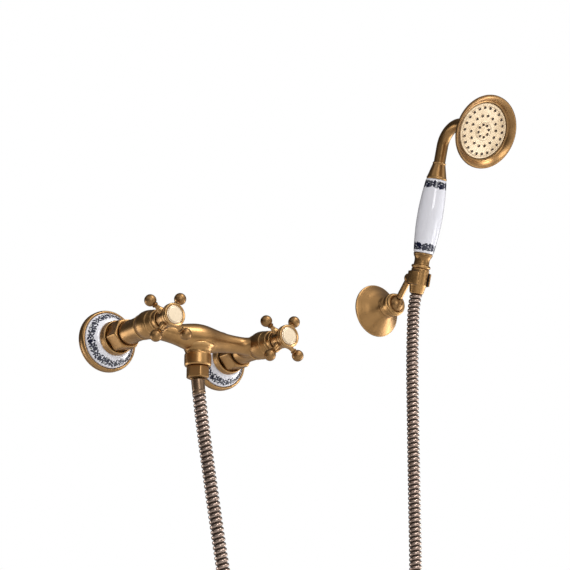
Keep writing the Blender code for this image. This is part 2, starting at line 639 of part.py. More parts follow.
# --- hose -------------------------------------------------------------------------------------------
def smooth_line(points, step):
    """Points of a Catmull-Rom curve through the route, about one step apart."""
    ends = [points[0] * 2 - points[1], *points, points[-1] * 2 - points[-2]]
    fine = []
    for a, b, c, d in zip(ends, ends[1:], ends[2:], ends[3:]):
        for k in range(20):
            t = k / 20
            fine.append(0.5 * (2 * b + (c - a) * t + (2 * a - 5 * b + 4 * c - d) * t * t
                               + (3 * b - a - 3 * c + d) * t**3))
    fine.append(points[-1])
    length = sum((q - p).length for p, q in zip(fine, fine[1:]))
    count = round(length / step)
    kept, run, target = [fine[0]], 0.0, length / count
    for p, q in zip(fine, fine[1:]):
        run += (q - p).length
        if run >= target and len(kept) < count:
            kept.append(q)
            target += length / count
    return [*kept, fine[-1]]


def hose_tube(name, line):
    swept(name, [point / MM for point in line], HOSE_RADIUS, HOSE_METAL, sides_level=2)


def hose():
    """The whole free hose: a fixed loop and the riser that follows the hand shower."""
    out = Vector((math.sin(FERRULE_LEAN), 0, -math.cos(FERRULE_LEAN)))
    start = Vector((0, -BODY_DEPTH, HOSE_NUT_BOTTOM)) * MM + out * (FERRULE_DROP + FERRULE_LENGTH + GAP) * MM
    up = Vector((0, -math.sin(GRIP_LEAN), math.cos(GRIP_LEAN)))
    end = Vector((BRACKET_X, CRADLE_Y, CRADLE_Z)) * MM + up * (CONE_BOTTOM - GAP) * MM
    route = [start, start + out * 0.012, *[Vector(p) for p in HOSE_ROUTE], end - up * 0.012, end]
    line = smooth_line(route, HOSE_STEP)
    line[1:-1] = [start + out * 0.006, *line[1:-1], end - up * 0.006]
    rising = [p.z > HOSE_SPLIT and p.x > 0.2 for p in line]
    first = rising.index(True)
    cut = line[first]
    above = (line[first + 1] - cut).normalized()
    hose_tube("hose_loop", [*line[:first], cut - above * GAP * MM])
    hose_tube("hose_riser", line[first:])


# --- wall bracket -----------------------------------------------------------------------------------
def bracket_fixing(frame):
    """Plate with a centre stud, two countersunk screws and the socket that screws on the stud."""
    plate = solid("bracket_plate", [(PLATE_STUD, 20.0), (PLATE_STUD, 3.0), (20.0, 3.0), (20.0, GAP)], STEEL, frame)
    for k, sign in enumerate((-1, 1)):
        at = (0, sign * SCREW_SPREAD, 0)
        bore(plate, frame, [(4.6, 2.0, 4.0), (2.3, -1.0, 2.0)], steps=SMALL, at=at)
        solid(f"bracket_screw_{k + 1}", [(3.0, 4.4), (4.2, 3.6), (4.2, 2.3), (2.0, 2.3), (2.0, -22.0), (0.8, -26.0)],
              STEEL, frame, steps=SMALL, at=at)
    cup = SOCKET_RADIUS - SOCKET_WALL
    socket = solid("bracket_socket", [
        (SOCKET_RADIUS, 35.6), (SOCKET_RADIUS, RING_NUT_BACK - 1.2), (SOCKET_NECK, RING_NUT_BACK - 1.2),
        (SOCKET_NECK, 3.6)],
        BRASS_RAW, frame)
    bore(socket, frame, [(cup, SOCKET_FLOOR, 37.0), (PLATE_STUD + RUN, 2.0, SOCKET_FLOOR)])


def bracket_escutcheon(frame):
    """Bell-shaped rose with a thin edge, hollow behind."""
    outer = [(ROSE_NECK - 0.6, ROSE_HEIGHT), (ROSE_NECK, ROSE_HEIGHT - 0.8), (ROSE_NECK + 0.4, ROSE_HEIGHT - 3.6),
             (ROSE_NECK + 2.6, ROSE_HEIGHT - 7.4), (ROSE_RADIUS * 0.58, ROSE_HEIGHT * 0.53),
             (ROSE_RADIUS * 0.74, ROSE_HEIGHT * 0.35), (ROSE_RADIUS * 0.89, ROSE_HEIGHT * 0.185),
             (ROSE_RADIUS - 0.8, 2.2), (ROSE_RADIUS, 1.5), (ROSE_RADIUS, 0.4), (ROSE_RADIUS - 0.4, 0.0)]
    inner = [(ROSE_RADIUS - 3.2, 0.0), (ROSE_RADIUS * 0.86, ROSE_HEIGHT * 0.12),
             (ROSE_RADIUS * 0.70, ROSE_HEIGHT * 0.28), (ROSE_RADIUS * 0.54, ROSE_HEIGHT * 0.45),
             (ROSE_NECK + 0.6, ROSE_HEIGHT - 9.2), (SOCKET_NECK + RUN, ROSE_HEIGHT - 6.0), (SOCKET_NECK + RUN, ROSE_HEIGHT)]
    turned("bracket_escutcheon", [*outer, *inner], BRASS, frame, closed=True, steps=BROAD)


def ball_radius_at(height, radius):
    return math.sqrt(radius**2 - (height - BALL_DEPTH) ** 2)


def ball_seat(frame):
    """Nylon cup behind the ball."""
    cup = SOCKET_RADIUS - SOCKET_WALL - GAP
    reach = ARM_BALL_RADIUS + GAP
    steps = [BALL_DEPTH - share * reach for share in (0.891, 0.713, 0.545, 0.376)]
    inside = [(ball_radius_at(z, reach), z) for z in steps]
    low, high = SOCKET_FLOOR + GAP, steps[-1]
    turned("ball_seat", [(cup, high), (cup, low), (inside[0][0], low), *inside], PLASTIC, frame, closed=True)


def ring_nut(frame):
    """Grooved nut that traps the ball."""
    thread = SOCKET_RADIUS + RUN
    reach = ARM_BALL_RADIUS + RUN
    lip = ball_radius_at(RING_NUT_FRONT, reach)
    rear = RING_NUT_BACK
    profile = [
        (lip, RING_NUT_FRONT), (RING_NUT_RADIUS - 1.6, RING_NUT_FRONT), (RING_NUT_RADIUS - 0.4, RING_NUT_FRONT - 1.2),
        (RING_NUT_RADIUS - 0.4, RING_NUT_FRONT - 3.4), (RING_NUT_RADIUS - 1.0, RING_NUT_FRONT - 4.0),
        (RING_NUT_RADIUS, RING_NUT_FRONT - 5.0), (RING_NUT_RADIUS, rear + 3.2), (RING_NUT_RADIUS - 0.9, rear + 2.4),
        (RING_NUT_RADIUS - 0.3, rear + 1.4), (RING_NUT_RADIUS - 0.8, rear), (thread, rear), (thread, 36.2),
        (reach + 0.5, BALL_DEPTH), (ball_radius_at(BALL_DEPTH + 2.0, reach) + 0.05, BALL_DEPTH + 2.0),
    ]
    turned("ring_nut", profile, BRASS, frame, closed=True)


def bracket_arm(ball_frame):
    """Ball, and the rod that stands on it, split at the ball's surface so that each can turn."""
    solid("arm_ball", arc(ARM_BALL_RADIUS, (0, 0), 80, -80, 9), BRASS, ball_frame, steps=ROUND)
    foot = ARM_BALL_RADIUS + GAP
    arm = rod("arm_rod", ARM_RADIUS, foot - 2.0, ARM_LENGTH, BRASS, ball_frame, steps=SMALL)
    hollow = solid("arm_foot_hollow", arc(foot, (0, 0), 84, -84, 25), BRASS, ball_frame, steps=ROUND)
    combine(arm, hollow, "DIFFERENCE")


# --- cradle -----------------------------------------------------------------------------------------
def cradle(grip, ball_frame):
    """C-shaped clip on the rod, open at the front, and its plastic liner."""
    half = CRADLE_HEIGHT / 2
    inner = CRADLE_RADIUS - CRADLE_WALL
    clip = rod("cradle", CRADLE_RADIUS, -half, half, BRASS, grip)
    boss = rod("cradle_boss", 6.2, CRADLE_RADIUS - 3.0, CRADLE_RADIUS + 9.0, BRASS, grip, steps=16,
               at=(0, 0, -0.6), turn=(-math.pi / 2, 0, 0))
    combine(clip, boss, "UNION")
    bore(clip, grip, [(inner, -half - 1, half + 1)])
    slot = block("cradle_slot", (SLOT_WIDTH, CRADLE_RADIUS * 2, CRADLE_HEIGHT + 2), (0, -CRADLE_RADIUS, 0), BRASS,
                 grip)
    combine(clip, slot, "DIFFERENCE")
    bore(clip, ball_frame, [(ARM_RADIUS + GAP, ARM_LENGTH - 12.0, ARM_LENGTH + GAP)], steps=SMALL)
    lining = tube_ring("cradle_liner", inner - GAP, inner - GAP - LINER_WALL, -half - 0.6, half + 0.6, LINER, grip)
    mouth = block("liner_slot", (SLOT_WIDTH - 1.6, CRADLE_RADIUS * 2, CRADLE_HEIGHT + 4), (0, -CRADLE_RADIUS, 0),
                  LINER, grip)
    combine(lining, mouth, "DIFFERENCE")


# --- hand shower ------------------------------------------------------------------------------------
def cone_nut(grip):
    """Tapered hose nut that sits in the cradle."""
    nut = solid("cone_nut", [
        (CONE_RADIUS - 0.8, CONE_TOP), (CONE_RADIUS, CONE_TOP - 0.6), (CONE_RADIUS, CRADLE_HEIGHT / 2 + 1.2),
        (CONE_RADIUS - 0.4, -CRADLE_HEIGHT / 2 + 0.5), (CONE_TAIL, CONE_BOTTOM + 1.0),
        (CONE_TAIL - 0.8, CONE_BOTTOM)], BRASS, grip)
    bore(nut, grip, [(NUT_THREAD + RUN, -1.4, CONE_TOP + 1), (INSERT_STEM + 0.4, CONE_BOTTOM - 1, -1.4)])


def riser_insert(grip):
    """Flanged end of the hose inside the nut, and its washer."""
    insert = solid("riser_insert", [(WASHER_RADIUS, 0.4), (WASHER_RADIUS, -1.0), (INSERT_STEM, -1.1),
                                    (INSERT_STEM, CONE_BOTTOM + 0.4)], BRASS_RAW, grip, steps=SMALL * 2)
    bore(insert, grip, [(HOSE_BORE, CONE_BOTTOM - 1, 1.0)], steps=SMALL)
    tube_ring("handset_washer", WASHER_RADIUS, HOSE_BORE, 0.7, 2.2, RUBBER, grip, steps=SMALL * 2)


def handset_tail(grip):
    """Waisted brass end of the grip, threaded into the nut."""
    bead = CONE_TOP + GAP
    tail = solid("handset_tail", [
        (TAIL_RADIUS - 0.4, TAIL_TOP), (TAIL_RADIUS, TAIL_TOP - 0.8), (TAIL_RADIUS - 0.7, TAIL_TOP - 3.2),
        (TAIL_WAIST, TAIL_TOP - 7.4), (TAIL_WAIST + 0.2, bead + 4.6), (TAIL_RADIUS - 0.5, bead + 3.4),
        (TAIL_RADIUS, bead + 2.4), (TAIL_RADIUS, bead + 1.0), (TAIL_RADIUS - 0.5, bead), (NUT_THREAD, bead),
        (NUT_THREAD, NOSE_TOP), (NOSE_RADIUS, NOSE_TOP), (NOSE_RADIUS, 2.6)],
        BRASS, grip)
    bore(tail, grip, [(INNER_TUBE_RADIUS + GAP, CONE_TOP + 4.0, TAIL_TOP + 1), (4.4, 1.0, CONE_TOP + 4.0)])


def handset_ceramic(grip):
    """Barrel-shaped glazed grip, thickest a little above its middle."""
    low = TAIL_TOP + GAP

    def radius(share):
        ends = CERAMIC_BOTTOM + (CERAMIC_TOP - CERAMIC_BOTTOM) * share
        crown = CERAMIC_BELLY - (CERAMIC_BOTTOM + CERAMIC_TOP) / 2
        return ends + crown * math.sin(math.pi * share) ** 0.9

    shares = [1 - k / 10 for k in range(11)]
    outer = [(radius(s), low + CERAMIC_LENGTH * s) for s in shares]
    hole = INNER_TUBE_RADIUS + 0.8
    profile = [(hole, low + CERAMIC_LENGTH), *outer, (hole, low)]
    turned("handset_ceramic", profile, CERAMIC, grip, closed=True)


def handset_upper(grip):
    """Inner water tube, neck ferrule and bent tube."""
    neck_low = TAIL_TOP + GAP + CERAMIC_LENGTH + GAP
    neck_high = neck_low + NECK_LENGTH
    tube_ring("inner_tube", INNER_TUBE_RADIUS, INNER_TUBE_RADIUS - 1.2, CONE_TOP + 4.3, neck_low + 6.0, STEEL, grip,
              steps=SMALL)
    neck = solid("neck_ferrule", [
        (ELBOW_RADIUS + 0.8, neck_high), (ELBOW_RADIUS + 1.1, neck_high - 1.2), (ELBOW_RADIUS + 0.7, neck_high - 2.6),
        (CERAMIC_TOP - 1.6, neck_low + 4.2), (CERAMIC_TOP - 0.2, neck_low + 2.0), (CERAMIC_TOP - 0.2, neck_low + 0.5),
        (CERAMIC_TOP - 0.8, neck_low)], BRASS, grip)
    bore(neck, grip, [(ELBOW_RADIUS + GAP, neck_low + 9.0, neck_high + 1),
                      (4.2, neck_low + 6.6, neck_low + 9.0),
                      (INNER_TUBE_RADIUS + GAP, neck_low - 1, neck_low + 6.6)])
    bend_start = neck_high + ELBOW_STRAIGHT
    path = [Vector((0, 0, neck_low + 9.4)), Vector((0, 0, (neck_high + bend_start) / 2))]
    turns = 9
    for k in range(turns + 1):
        angle = BEND_ANGLE * k / turns
        path.append(Vector((0, -BEND_RADIUS * (1 - math.cos(angle)), bend_start + BEND_RADIUS * math.sin(angle))))
    out = Vector((0, -math.sin(BEND_ANGLE), math.cos(BEND_ANGLE)))
    rim = path[-1] + out * HEAD_NECK_LENGTH
    path.append(rim - out * (HEAD_NECK_LENGTH - HEAD_SOCKET))
    elbow = swept("handset_elbow", path, ELBOW_RADIUS, BRASS, grip)
    hollow = swept("elbow_hollow", [path[0] - Vector((0, 0, 3)), *path[1:-1], path[-1] + out * 3], ELBOW_BORE, BRASS,
                   grip, sides_level=2)
    combine(elbow, hollow, "DIFFERENCE")
    return rim


def spray_head(grip, rim):
    """Flared bell with a deep front lip, and the nozzle plate that sits in it."""
    face = new_frame("head_frame", rim, Euler((BEND_ANGLE, 0, 0)), grip)
    tube_end = -(HEAD_NECK_LENGTH - HEAD_SOCKET)
    pocket = PLATE_RADIUS + GAP
    shelf = -PLATE_DEPTH - PLATE_THICK - GAP
    outer = [
        (HEAD_RADIUS - 0.7, 0.3), (HEAD_RADIUS, -0.5), (HEAD_RADIUS - 1.6, -3.0),
        (HEAD_RADIUS - 5.2, -8.2), (HEAD_RADIUS - 11.0, -15.6), (HEAD_RADIUS * 0.57, -22.4),
        (HEAD_RADIUS * 0.37, -27.6), (HEAD_RADIUS * 0.24, -31.6), (ELBOW_RADIUS + 2.3, tube_end - 3.0),
        (ELBOW_RADIUS + 1.2, tube_end - 8.0),
    ]
    inner = [
        (ELBOW_RADIUS + GAP, tube_end - 8.0), (ELBOW_RADIUS + GAP, tube_end + GAP), (ELBOW_BORE, tube_end + GAP),
        (ELBOW_BORE, tube_end + 3.2), (HEAD_RADIUS * 0.33, -25.4), (HEAD_RADIUS * 0.53, -20.0),
        (pocket - 2.6, -13.6), (pocket - 2.6, shelf), (pocket, shelf), (pocket, -PLATE_DEPTH - 0.4),
        (pocket + 1.3, -PLATE_DEPTH + 0.5), (HEAD_RADIUS - 4.4, -3.2), (HEAD_RADIUS - 1.7, 0.1),
    ]
    turned("spray_head", [*outer, *inner], BRASS, face, closed=True, steps=BROAD)
    back = -PLATE_DEPTH - PLATE_THICK
    plate = solid("spray_plate", [
        (PLATE_RADIUS - 0.8, -PLATE_DEPTH), (PLATE_RADIUS, -PLATE_DEPTH - 0.6), (PLATE_RADIUS, back)],
        BRASS_PALE, face, steps=BROAD)
    mesh = bpy.data.meshes.new("nozzle_bores")
    shape = bmesh.new()
    for count, share in NOZZLE_RINGS:
        for k in range(count):
            angle = 2 * math.pi * (k + 0.5) / count
            made = bmesh.ops.create_cone(shape, cap_ends=True, segments=4, radius1=NOZZLE_RADIUS * MM,
                                         radius2=NOZZLE_RADIUS * MM, depth=(PLATE_THICK + 4) * MM)
            reach = PLATE_RADIUS * share
            spot = Vector((reach * math.cos(angle), reach * math.sin(angle), (back - PLATE_DEPTH) / 2)) * MM
            bmesh.ops.translate(shape, vec=spot, verts=made["verts"])
    shape.to_mesh(mesh)
    shape.free()
    combine(plate, add_piece("nozzle_bores", mesh, BRASS_PALE, face), "DIFFERENCE")


# --- assembly ---------------------------------------------------------------------------------------
def build_inlets():
    frames = {}
    for side, sign in SIDES.items():
        frames[side] = new_frame(f"inlet_{side}", (sign * INLET_SPACING / 2, 0, 0), WALL_TURN)
        for make in (inlet_union, wall_flange, ceramic_ring, flange_collar, union_nut, inlet_washer):
            make(side, frames[side])
    return frames


def build_valves(frames):
    for side, frame in frames.items():
        valve_headwork(side, frame)
        ceramic_disc(f"fixed_disc_{side}", DISC_BACK, DISC, frame, 0.0)
        ceramic_disc(f"moving_disc_{side}", MOVING_BACK, DISC, frame, math.pi / 2)
        for make in (spindle, bonnet, stem_seal, cross_handle, index_button, handle_screw):
            make(side, frame)


def build_outlet():
    frame = new_frame("outlet", (0, -BODY_DEPTH, 0), (0, 0, 0))
    for make in (outlet_collar, check_valve, hose_nut, hose_washer, lower_ferrule):
        make(frame)


def build_bracket():
    frame = new_frame("bracket", (BRACKET_X, 0, BRACKET_Z), WALL_TURN)
    for make in (bracket_fixing, bracket_escutcheon, ball_seat, ring_nut):
        make(frame)
    ball_frame = new_frame("bracket_ball", (BRACKET_X, -BALL_DEPTH, BRACKET_Z), Euler((ARM_ANGLE, 0, 0)))
    bracket_arm(ball_frame)
    return ball_frame


def build_hand_shower(ball_frame):
    grip = new_frame("grip", (BRACKET_X, CRADLE_Y, CRADLE_Z), Euler((GRIP_LEAN, 0, 0)))
    cradle(grip, ball_frame)
    for make in (cone_nut, riser_insert, handset_tail, handset_ceramic):
        make(grip)
    spray_head(grip, handset_upper(grip))


clear_scene()
PARTS = new_collection("bath_shower_mixer")
CUTTERS = new_collection("cutters")
FRAMES = new_collection("frames")
BRASS = new_material("aged_brass", (0.42, 0.26, 0.11), 0.34, 1.0)
BRASS_DARK = new_material("dark_brass", (0.27, 0.17, 0.10), 0.40, 1.0)
BRASS_RAW = new_material("plain_brass", (0.62, 0.45, 0.20), 0.35, 1.0)
BRASS_PALE = new_material("pale_brass", (0.72, 0.55, 0.30), 0.30, 1.0)
BRASS_POLISHED = new_material("polished_brass", (0.70, 0.50, 0.26), 0.28, 1.0)
VALVE_BRASS = new_material("valve_brass", (0.60, 0.44, 0.20), 0.40, 1.0)
HOSE_METAL = new_material("hose_metal", (0.36, 0.26, 0.18), 0.32, 1.0)
CERAMIC = new_material("white_glaze", (0.86, 0.86, 0.88), 0.10, 0.0)
DISC = new_material("alumina", (0.80, 0.78, 0.74), 0.25, 0.0)
STEEL = new_material("steel", (0.55, 0.55, 0.56), 0.35, 1.0)
RUBBER = new_material("black_rubber", (0.02, 0.02, 0.02), 0.75, 0.0)
PLASTIC = new_material("nylon", (0.75, 0.73, 0.68), 0.50, 0.0)
LINER = new_material("black_liner", (0.015, 0.015, 0.015), 0.45, 0.0)

inlet_frames = build_inlets()
mixer_body(inlet_frames)
build_valves(inlet_frames)
build_outlet()
hose()
build_hand_shower(build_bracket())
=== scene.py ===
"""Exposed bath shower mixer in aged brass, with a spiral hose and a hand shower in its bracket.

Every piece is a surface worked out on a grid: a turned profile, a profile carried along a path, or a hexagon.
Sizes are millimetres in each assembly's own frame, whose third axis runs along the assembly's axis.
"""
import json
import math

import bpy
import numpy as np
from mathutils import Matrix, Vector


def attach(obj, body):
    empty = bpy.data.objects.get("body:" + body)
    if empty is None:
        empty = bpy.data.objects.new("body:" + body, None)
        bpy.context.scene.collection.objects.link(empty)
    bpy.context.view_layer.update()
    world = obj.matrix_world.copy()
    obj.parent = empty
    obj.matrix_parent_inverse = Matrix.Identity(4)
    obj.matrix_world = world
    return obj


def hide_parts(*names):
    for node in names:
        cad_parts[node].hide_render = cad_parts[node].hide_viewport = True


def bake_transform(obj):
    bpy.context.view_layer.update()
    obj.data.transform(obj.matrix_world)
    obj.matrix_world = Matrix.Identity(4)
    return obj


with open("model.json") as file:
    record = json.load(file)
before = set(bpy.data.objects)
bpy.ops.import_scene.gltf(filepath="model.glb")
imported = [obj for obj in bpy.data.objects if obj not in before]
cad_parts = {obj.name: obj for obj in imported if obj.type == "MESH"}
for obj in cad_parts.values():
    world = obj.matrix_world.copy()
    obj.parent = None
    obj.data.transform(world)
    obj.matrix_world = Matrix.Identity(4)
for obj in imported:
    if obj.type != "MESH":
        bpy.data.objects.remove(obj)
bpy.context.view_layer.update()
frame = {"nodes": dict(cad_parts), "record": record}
MM = 0.001

# --- places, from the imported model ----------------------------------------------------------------
JOINTS = {joint["name"]: joint for joint in frame["record"]["behaviour"]["joints"]}
GRIP_AXIS = np.array(JOINTS["handset_spin"]["axis"], float)
GRIP_ORIGIN = np.array(JOINTS["handset_spin"]["pos_m"], float) / MM
BALL_CENTRE = np.array(JOINTS["bracket_tilt"]["pos_m"], float) / MM
LEAN = math.atan2(-GRIP_AXIS[1], GRIP_AXIS[2])
BEND_ANGLE = math.radians(101.33)
BODY_DEPTH = 74.6
INLET_X = 75.0
HANDLE_REST = {"L": math.radians(56.7), "R": math.radians(52.5)}
SIDES = {"L": -1.0, "R": 1.0}
HANDLE_BODY = {"L": "hot_handle", "R": "cold_handle"}


def tilted(origin, angle):
    """Frame at a point, turned about X: its third axis leaves +Z and leans towards -Y by the angle."""
    cos, sin = math.cos(angle), math.sin(angle)
    return np.array(origin, float), np.array([[1.0, 0, 0], [0, cos, sin], [0, -sin, cos]])



INLET = {side: tilted((sign * INLET_X, 0, 0), math.pi / 2) for side, sign in SIDES.items()}
OUTLET = tilted((0, -BODY_DEPTH, 0), 0.0)
BRACKET = tilted((BALL_CENTRE[0], 0, BALL_CENTRE[2]), math.pi / 2)
ARM = tilted(BALL_CENTRE, math.radians(45))
GRIP = tilted(GRIP_ORIGIN, LEAN)


# --- surfaces -------------------------------------------------------------------------------------
def signed_volume(points, quads):
    a, b, c, d = (points[quads[:, k]] for k in range(4))
    return (np.einsum("ij,ij->i", a, np.cross(b, c)) + np.einsum("ij,ij->i", a, np.cross(c, d))).sum()


def grid_faces(rows, columns, close_rows, close_columns):
    """Quads of a grid of points, joined round on either side where asked."""
    i = np.arange(rows if close_rows else rows - 1)
    j = np.arange(columns if close_columns else columns - 1)
    i, j = (a.reshape(-1) for a in np.meshgrid(i, j, indexing="ij"))
    below, right = (i + 1) % rows, (j + 1) % columns
    return np.stack(
        [i * columns + j, i * columns + right, below * columns + right, below * columns + j], axis=1)


def make_piece(name, shape, material, body, replaced=()):
    """Put a surface in the scene, ride it on its body and hide the imported parts it stands for."""
    points, quads, uv, wear_and_seam_shade = shape
    key = np.round(points, 4)
    _, first, merged = np.unique(key, axis=0, return_index=True, return_inverse=True)
    merged = merged.reshape(-1)
    faces = merged[quads]
    rows = [list(dict.fromkeys(face)) for face in faces.tolist()]
    mesh = bpy.data.meshes.new(name)
    mesh.from_pydata((points[first] * MM).tolist(), [], [row for row in rows if len(row) > 2])
    layer = mesh.uv_layers.new(name="UVMap")
    corners = []
    for face, row in zip(quads.tolist(), rows):
        if len(row) > 2:
            source = {merged[v]: v for v in reversed(face)}
            corners += [source[v] for v in row]
    layer.data.foreach_set("uv", uv[corners].astype(np.float32).reshape(-1))
    layer = mesh.attributes.new("wear_and_seam_shade", "FLOAT", "POINT")
    layer.data.foreach_set("value", wear_and_seam_shade[first].astype(np.float32))
    mesh.update()
    mesh.shade_smooth()
    mesh.materials.append(material)
    piece = bpy.data.objects.new(name, mesh)
    bpy.context.scene.collection.objects.link(piece)
    if body:
        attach(piece, body)
    if replaced:
        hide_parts(*replaced)
    return piece


def eased(outline, ease=0.35, count=5, support=0.12):
    """Round each corner of an outline with a short parabola, and pin the flats beside it with one point each.

    An outline point is (radius, height) or (radius, height, ease)."""
    plain = np.array([point[:2] for point in outline], float)
    eases = [point[2] if len(point) > 2 else ease for point in outline]
    made = [plain[0]]
    for k in range(1, len(plain) - 1):
        corner, back, ahead = plain[k], plain[k - 1] - plain[k], plain[k + 1] - plain[k]
        long_back, long_ahead = np.linalg.norm(back), np.linalg.norm(ahead)
        reach = min(eases[k], 0.46 * long_back, 0.46 * long_ahead)
        if reach < 1e-6:
            made.append(corner)
            continue
        a, b = corner + back / long_back * reach, corner + ahead / long_ahead * reach
        if 0.46 * long_back > reach + support:
            made.append(corner + back / long_back * (reach + support))
        for t in np.linspace(0, 1, count):
            made.append((1 - t) ** 2 * a + 2 * t * (1 - t) * corner + t * t * b)
        if 0.46 * long_ahead > reach + support:
            made.append(corner + ahead / long_ahead * (reach + support))
    made.append(plain[-1])
    return np.array(made)


def flowing(points, per_span=6):
    """Catmull-Rom curve through points of any dimension."""
    p = np.array(points, float)
    p = np.concatenate([[2 * p[0] - p[1]], p, [2 * p[-1] - p[-2]]])
    t = np.linspace(0, 1, per_span, endpoint=False)[:, None, None]
    a, b, c, d = p[:-3], p[1:-2], p[2:-1], p[3:]
    curve = 0.5 * (2 * b + (c - a) * t + (2 * a - 5 * b + 4 * c - d) * t**2 + (3 * b - a - 3 * c + d) * t**3)
    return np.concatenate([curve.transpose(1, 0, 2).reshape(-1, p.shape[1]), p[-2:-1]])


def bend_of(profile):
    """Signed turn of a profile at each point: positive on a ridge, negative in a groove, from -1 to 1."""
    steps = np.diff(profile, axis=0)
    heading = np.unwrap(np.arctan2(steps[:, 1], steps[:, 0]))
    turn = np.zeros(len(profile))
    turn[1:-1] = -np.diff(heading)
    spread = np.convolve(turn, [0.5, 0.8, 1.0, 0.8, 0.5], mode="same")
    return np.clip(spread * 1.1, -1, 1)


def turned(profile, place, steps=72, centre=(0.0, 0.0), tiles=1.0, band=None, closed=False):
    """Surface of revolution: (r cos a, r sin a, h) in the frame, for each profile point and angle."""
    profile = np.asarray(profile, float)
    angles = np.arange(steps + 1) * 2 * math.pi / steps
    r, h = profile[:, :1], profile[:, 1:2]
    local = np.stack(
        [r * np.cos(angles) + centre[0], r * np.sin(angles) + centre[1], h * np.ones_like(angles)], axis=2)
    points = (local.reshape(-1, 3) @ place[1]) + place[0]
    quads = grid_faces(len(profile), steps + 1, closed, False)
    length = np.concatenate([[0], np.cumsum(np.linalg.norm(np.diff(profile, axis=0), axis=1))])
    along = length / 10 if band is None else band(profile, length)
    u = np.broadcast_to(angles * tiles / (2 * math.pi), (len(profile), steps + 1))
    v = np.broadcast_to(along[:, None], u.shape)
    uv = np.stack([u, v], axis=2).reshape(-1, 2)
    wear_and_seam_shade = np.repeat(bend_of(profile), steps + 1)
    return points, quads, uv, wear_and_seam_shade


def joined(*shapes):
    """Several grids (points in millimetres, quads, map, wear) as one piece, each with its faces outwards."""
    quads, offset = [], 0
    for points, some_quads, *_ in shapes:
        if signed_volume(points, some_quads) < 0:
            some_quads = some_quads[:, ::-1]
        quads.append(some_quads + offset)
        offset += len(points)
    points, uv, wear_and_seam_shade = (np.concatenate([shape[k] for shape in shapes]) for k in (0, 2, 3))
    return points, np.concatenate(quads), uv, wear_and_seam_shade


def lathe(outline, place, **extra):
    """Turned solid whose outline already starts and ends on the axis, or is a closed ring."""
    return joined(turned(outline, place, **extra))



def hexagon(flats, low, high, bore_radius, chamfer, place, turn=0.0, rounding=0.5):
    """Hexagonal nut: radius is the smooth minimum of the hexagon's radius and of a cone at each end."""
    corner = flats / math.sqrt(3)
    side = np.array([0, 0.012, 0.03, 0.06, 0.12, 0.25, 0.5, 0.75, 0.88, 0.94, 0.97, 0.988])
    angles = ((np.arange(6)[:, None] + side[None, :]) * math.pi / 3).reshape(-1)
    angles = np.append(angles, 2 * math.pi)
    within = np.mod(angles, math.pi / 3) - math.pi / 6
    apothem = flats / 2 / np.cos(within)
    ends = np.concatenate([[0, 0.25, 0.5, 0.8, 1.2, 1.7, 2.4, 3.2], np.linspace(4.4, (high - low) / 2, 4)])
    height = np.concatenate([high - ends, (low + ends)[::-1]])
    near = np.minimum(high - height, height - low)[:, None]
    cone = corner - chamfer + near * 1.7
    gap = np.clip(0.5 + 0.5 * (cone - apothem[None, :]) / rounding, 0, 1)
    radius = cone + (apothem[None, :] - cone) * gap - rounding * gap * (1 - gap)
    radius = np.minimum(radius, corner - 0.35)
    bore_top = np.full((1, len(angles)), bore_radius)
    radius = np.concatenate([bore_top, bore_top + 0.1, radius, bore_top + 0.1, bore_top])
    height = np.concatenate([[high - 1.5, high], height, [low, low + 1.5]])
    turned_angles = angles + turn
    local = np.stack([radius * np.cos(turned_angles), radius * np.sin(turned_angles),
                      np.broadcast_to(height[:, None], radius.shape)], axis=2)
    points = local.reshape(-1, 3) @ place[1] + place[0]
    quads = grid_faces(len(height), len(angles), True, False)
    u = np.broadcast_to(angles / (2 * math.pi), radius.shape)
    v = np.broadcast_to(height[:, None] / 10, radius.shape)
    wear_and_seam_shade = np.clip(0.5 - np.abs(gap - 0.5), 0, 1) * 1.6
    wear_and_seam_shade = np.concatenate([np.zeros((2, len(angles))), wear_and_seam_shade, np.zeros((2, len(angles)))])
    return joined((points, quads, np.stack([u, v], axis=2).reshape(-1, 2), wear_and_seam_shade.reshape(-1)))


def carried(path, radius_at, sides=28, first_normal=(1.0, 0, 0)):
    """Round section carried along a path, closed at its ends; radius_at(length along, angle) is its size."""
    path = np.asarray(path, float)
    steps = np.diff(path, axis=0)
    along = np.concatenate([[0], np.cumsum(np.linalg.norm(steps, axis=1))])
    tangent = np.gradient(path, along, axis=0)
    tangent /= np.linalg.norm(tangent, axis=1)[:, None]
    normal = np.empty_like(path)
    last = np.array(first_normal, float)
    for k, direction in enumerate(tangent):
        last = last - direction * (last @ direction)
        last /= np.linalg.norm(last)
        normal[k] = last
    other = np.cross(tangent, normal)
    angles = np.arange(sides + 1) * 2 * math.pi / sides
    radius = radius_at(along[:, None], angles[None, :])
    cos, sin = np.cos(angles)[None, :, None], np.sin(angles)[None, :, None]
    ring = normal[:, None, :] * cos + other[:, None, :] * sin
    points = path[:, None, :] + ring * radius[:, :, None]
    ends = [np.broadcast_to(path[k], (1, sides + 1, 3)) for k in (0, -1)]
    points = np.concatenate([ends[0], points, ends[1]])
    quads = grid_faces(len(points), sides + 1, False, False)
    spread = np.concatenate([[0], along, [along[-1]]]) / 10
    u = np.broadcast_to(angles / (2 * math.pi), (len(spread), sides + 1))
    uv = np.stack([u, np.broadcast_to(spread[:, None], u.shape)], axis=2).reshape(-1, 2)
    return points.reshape(-1, 3), quads, uv, radius, along


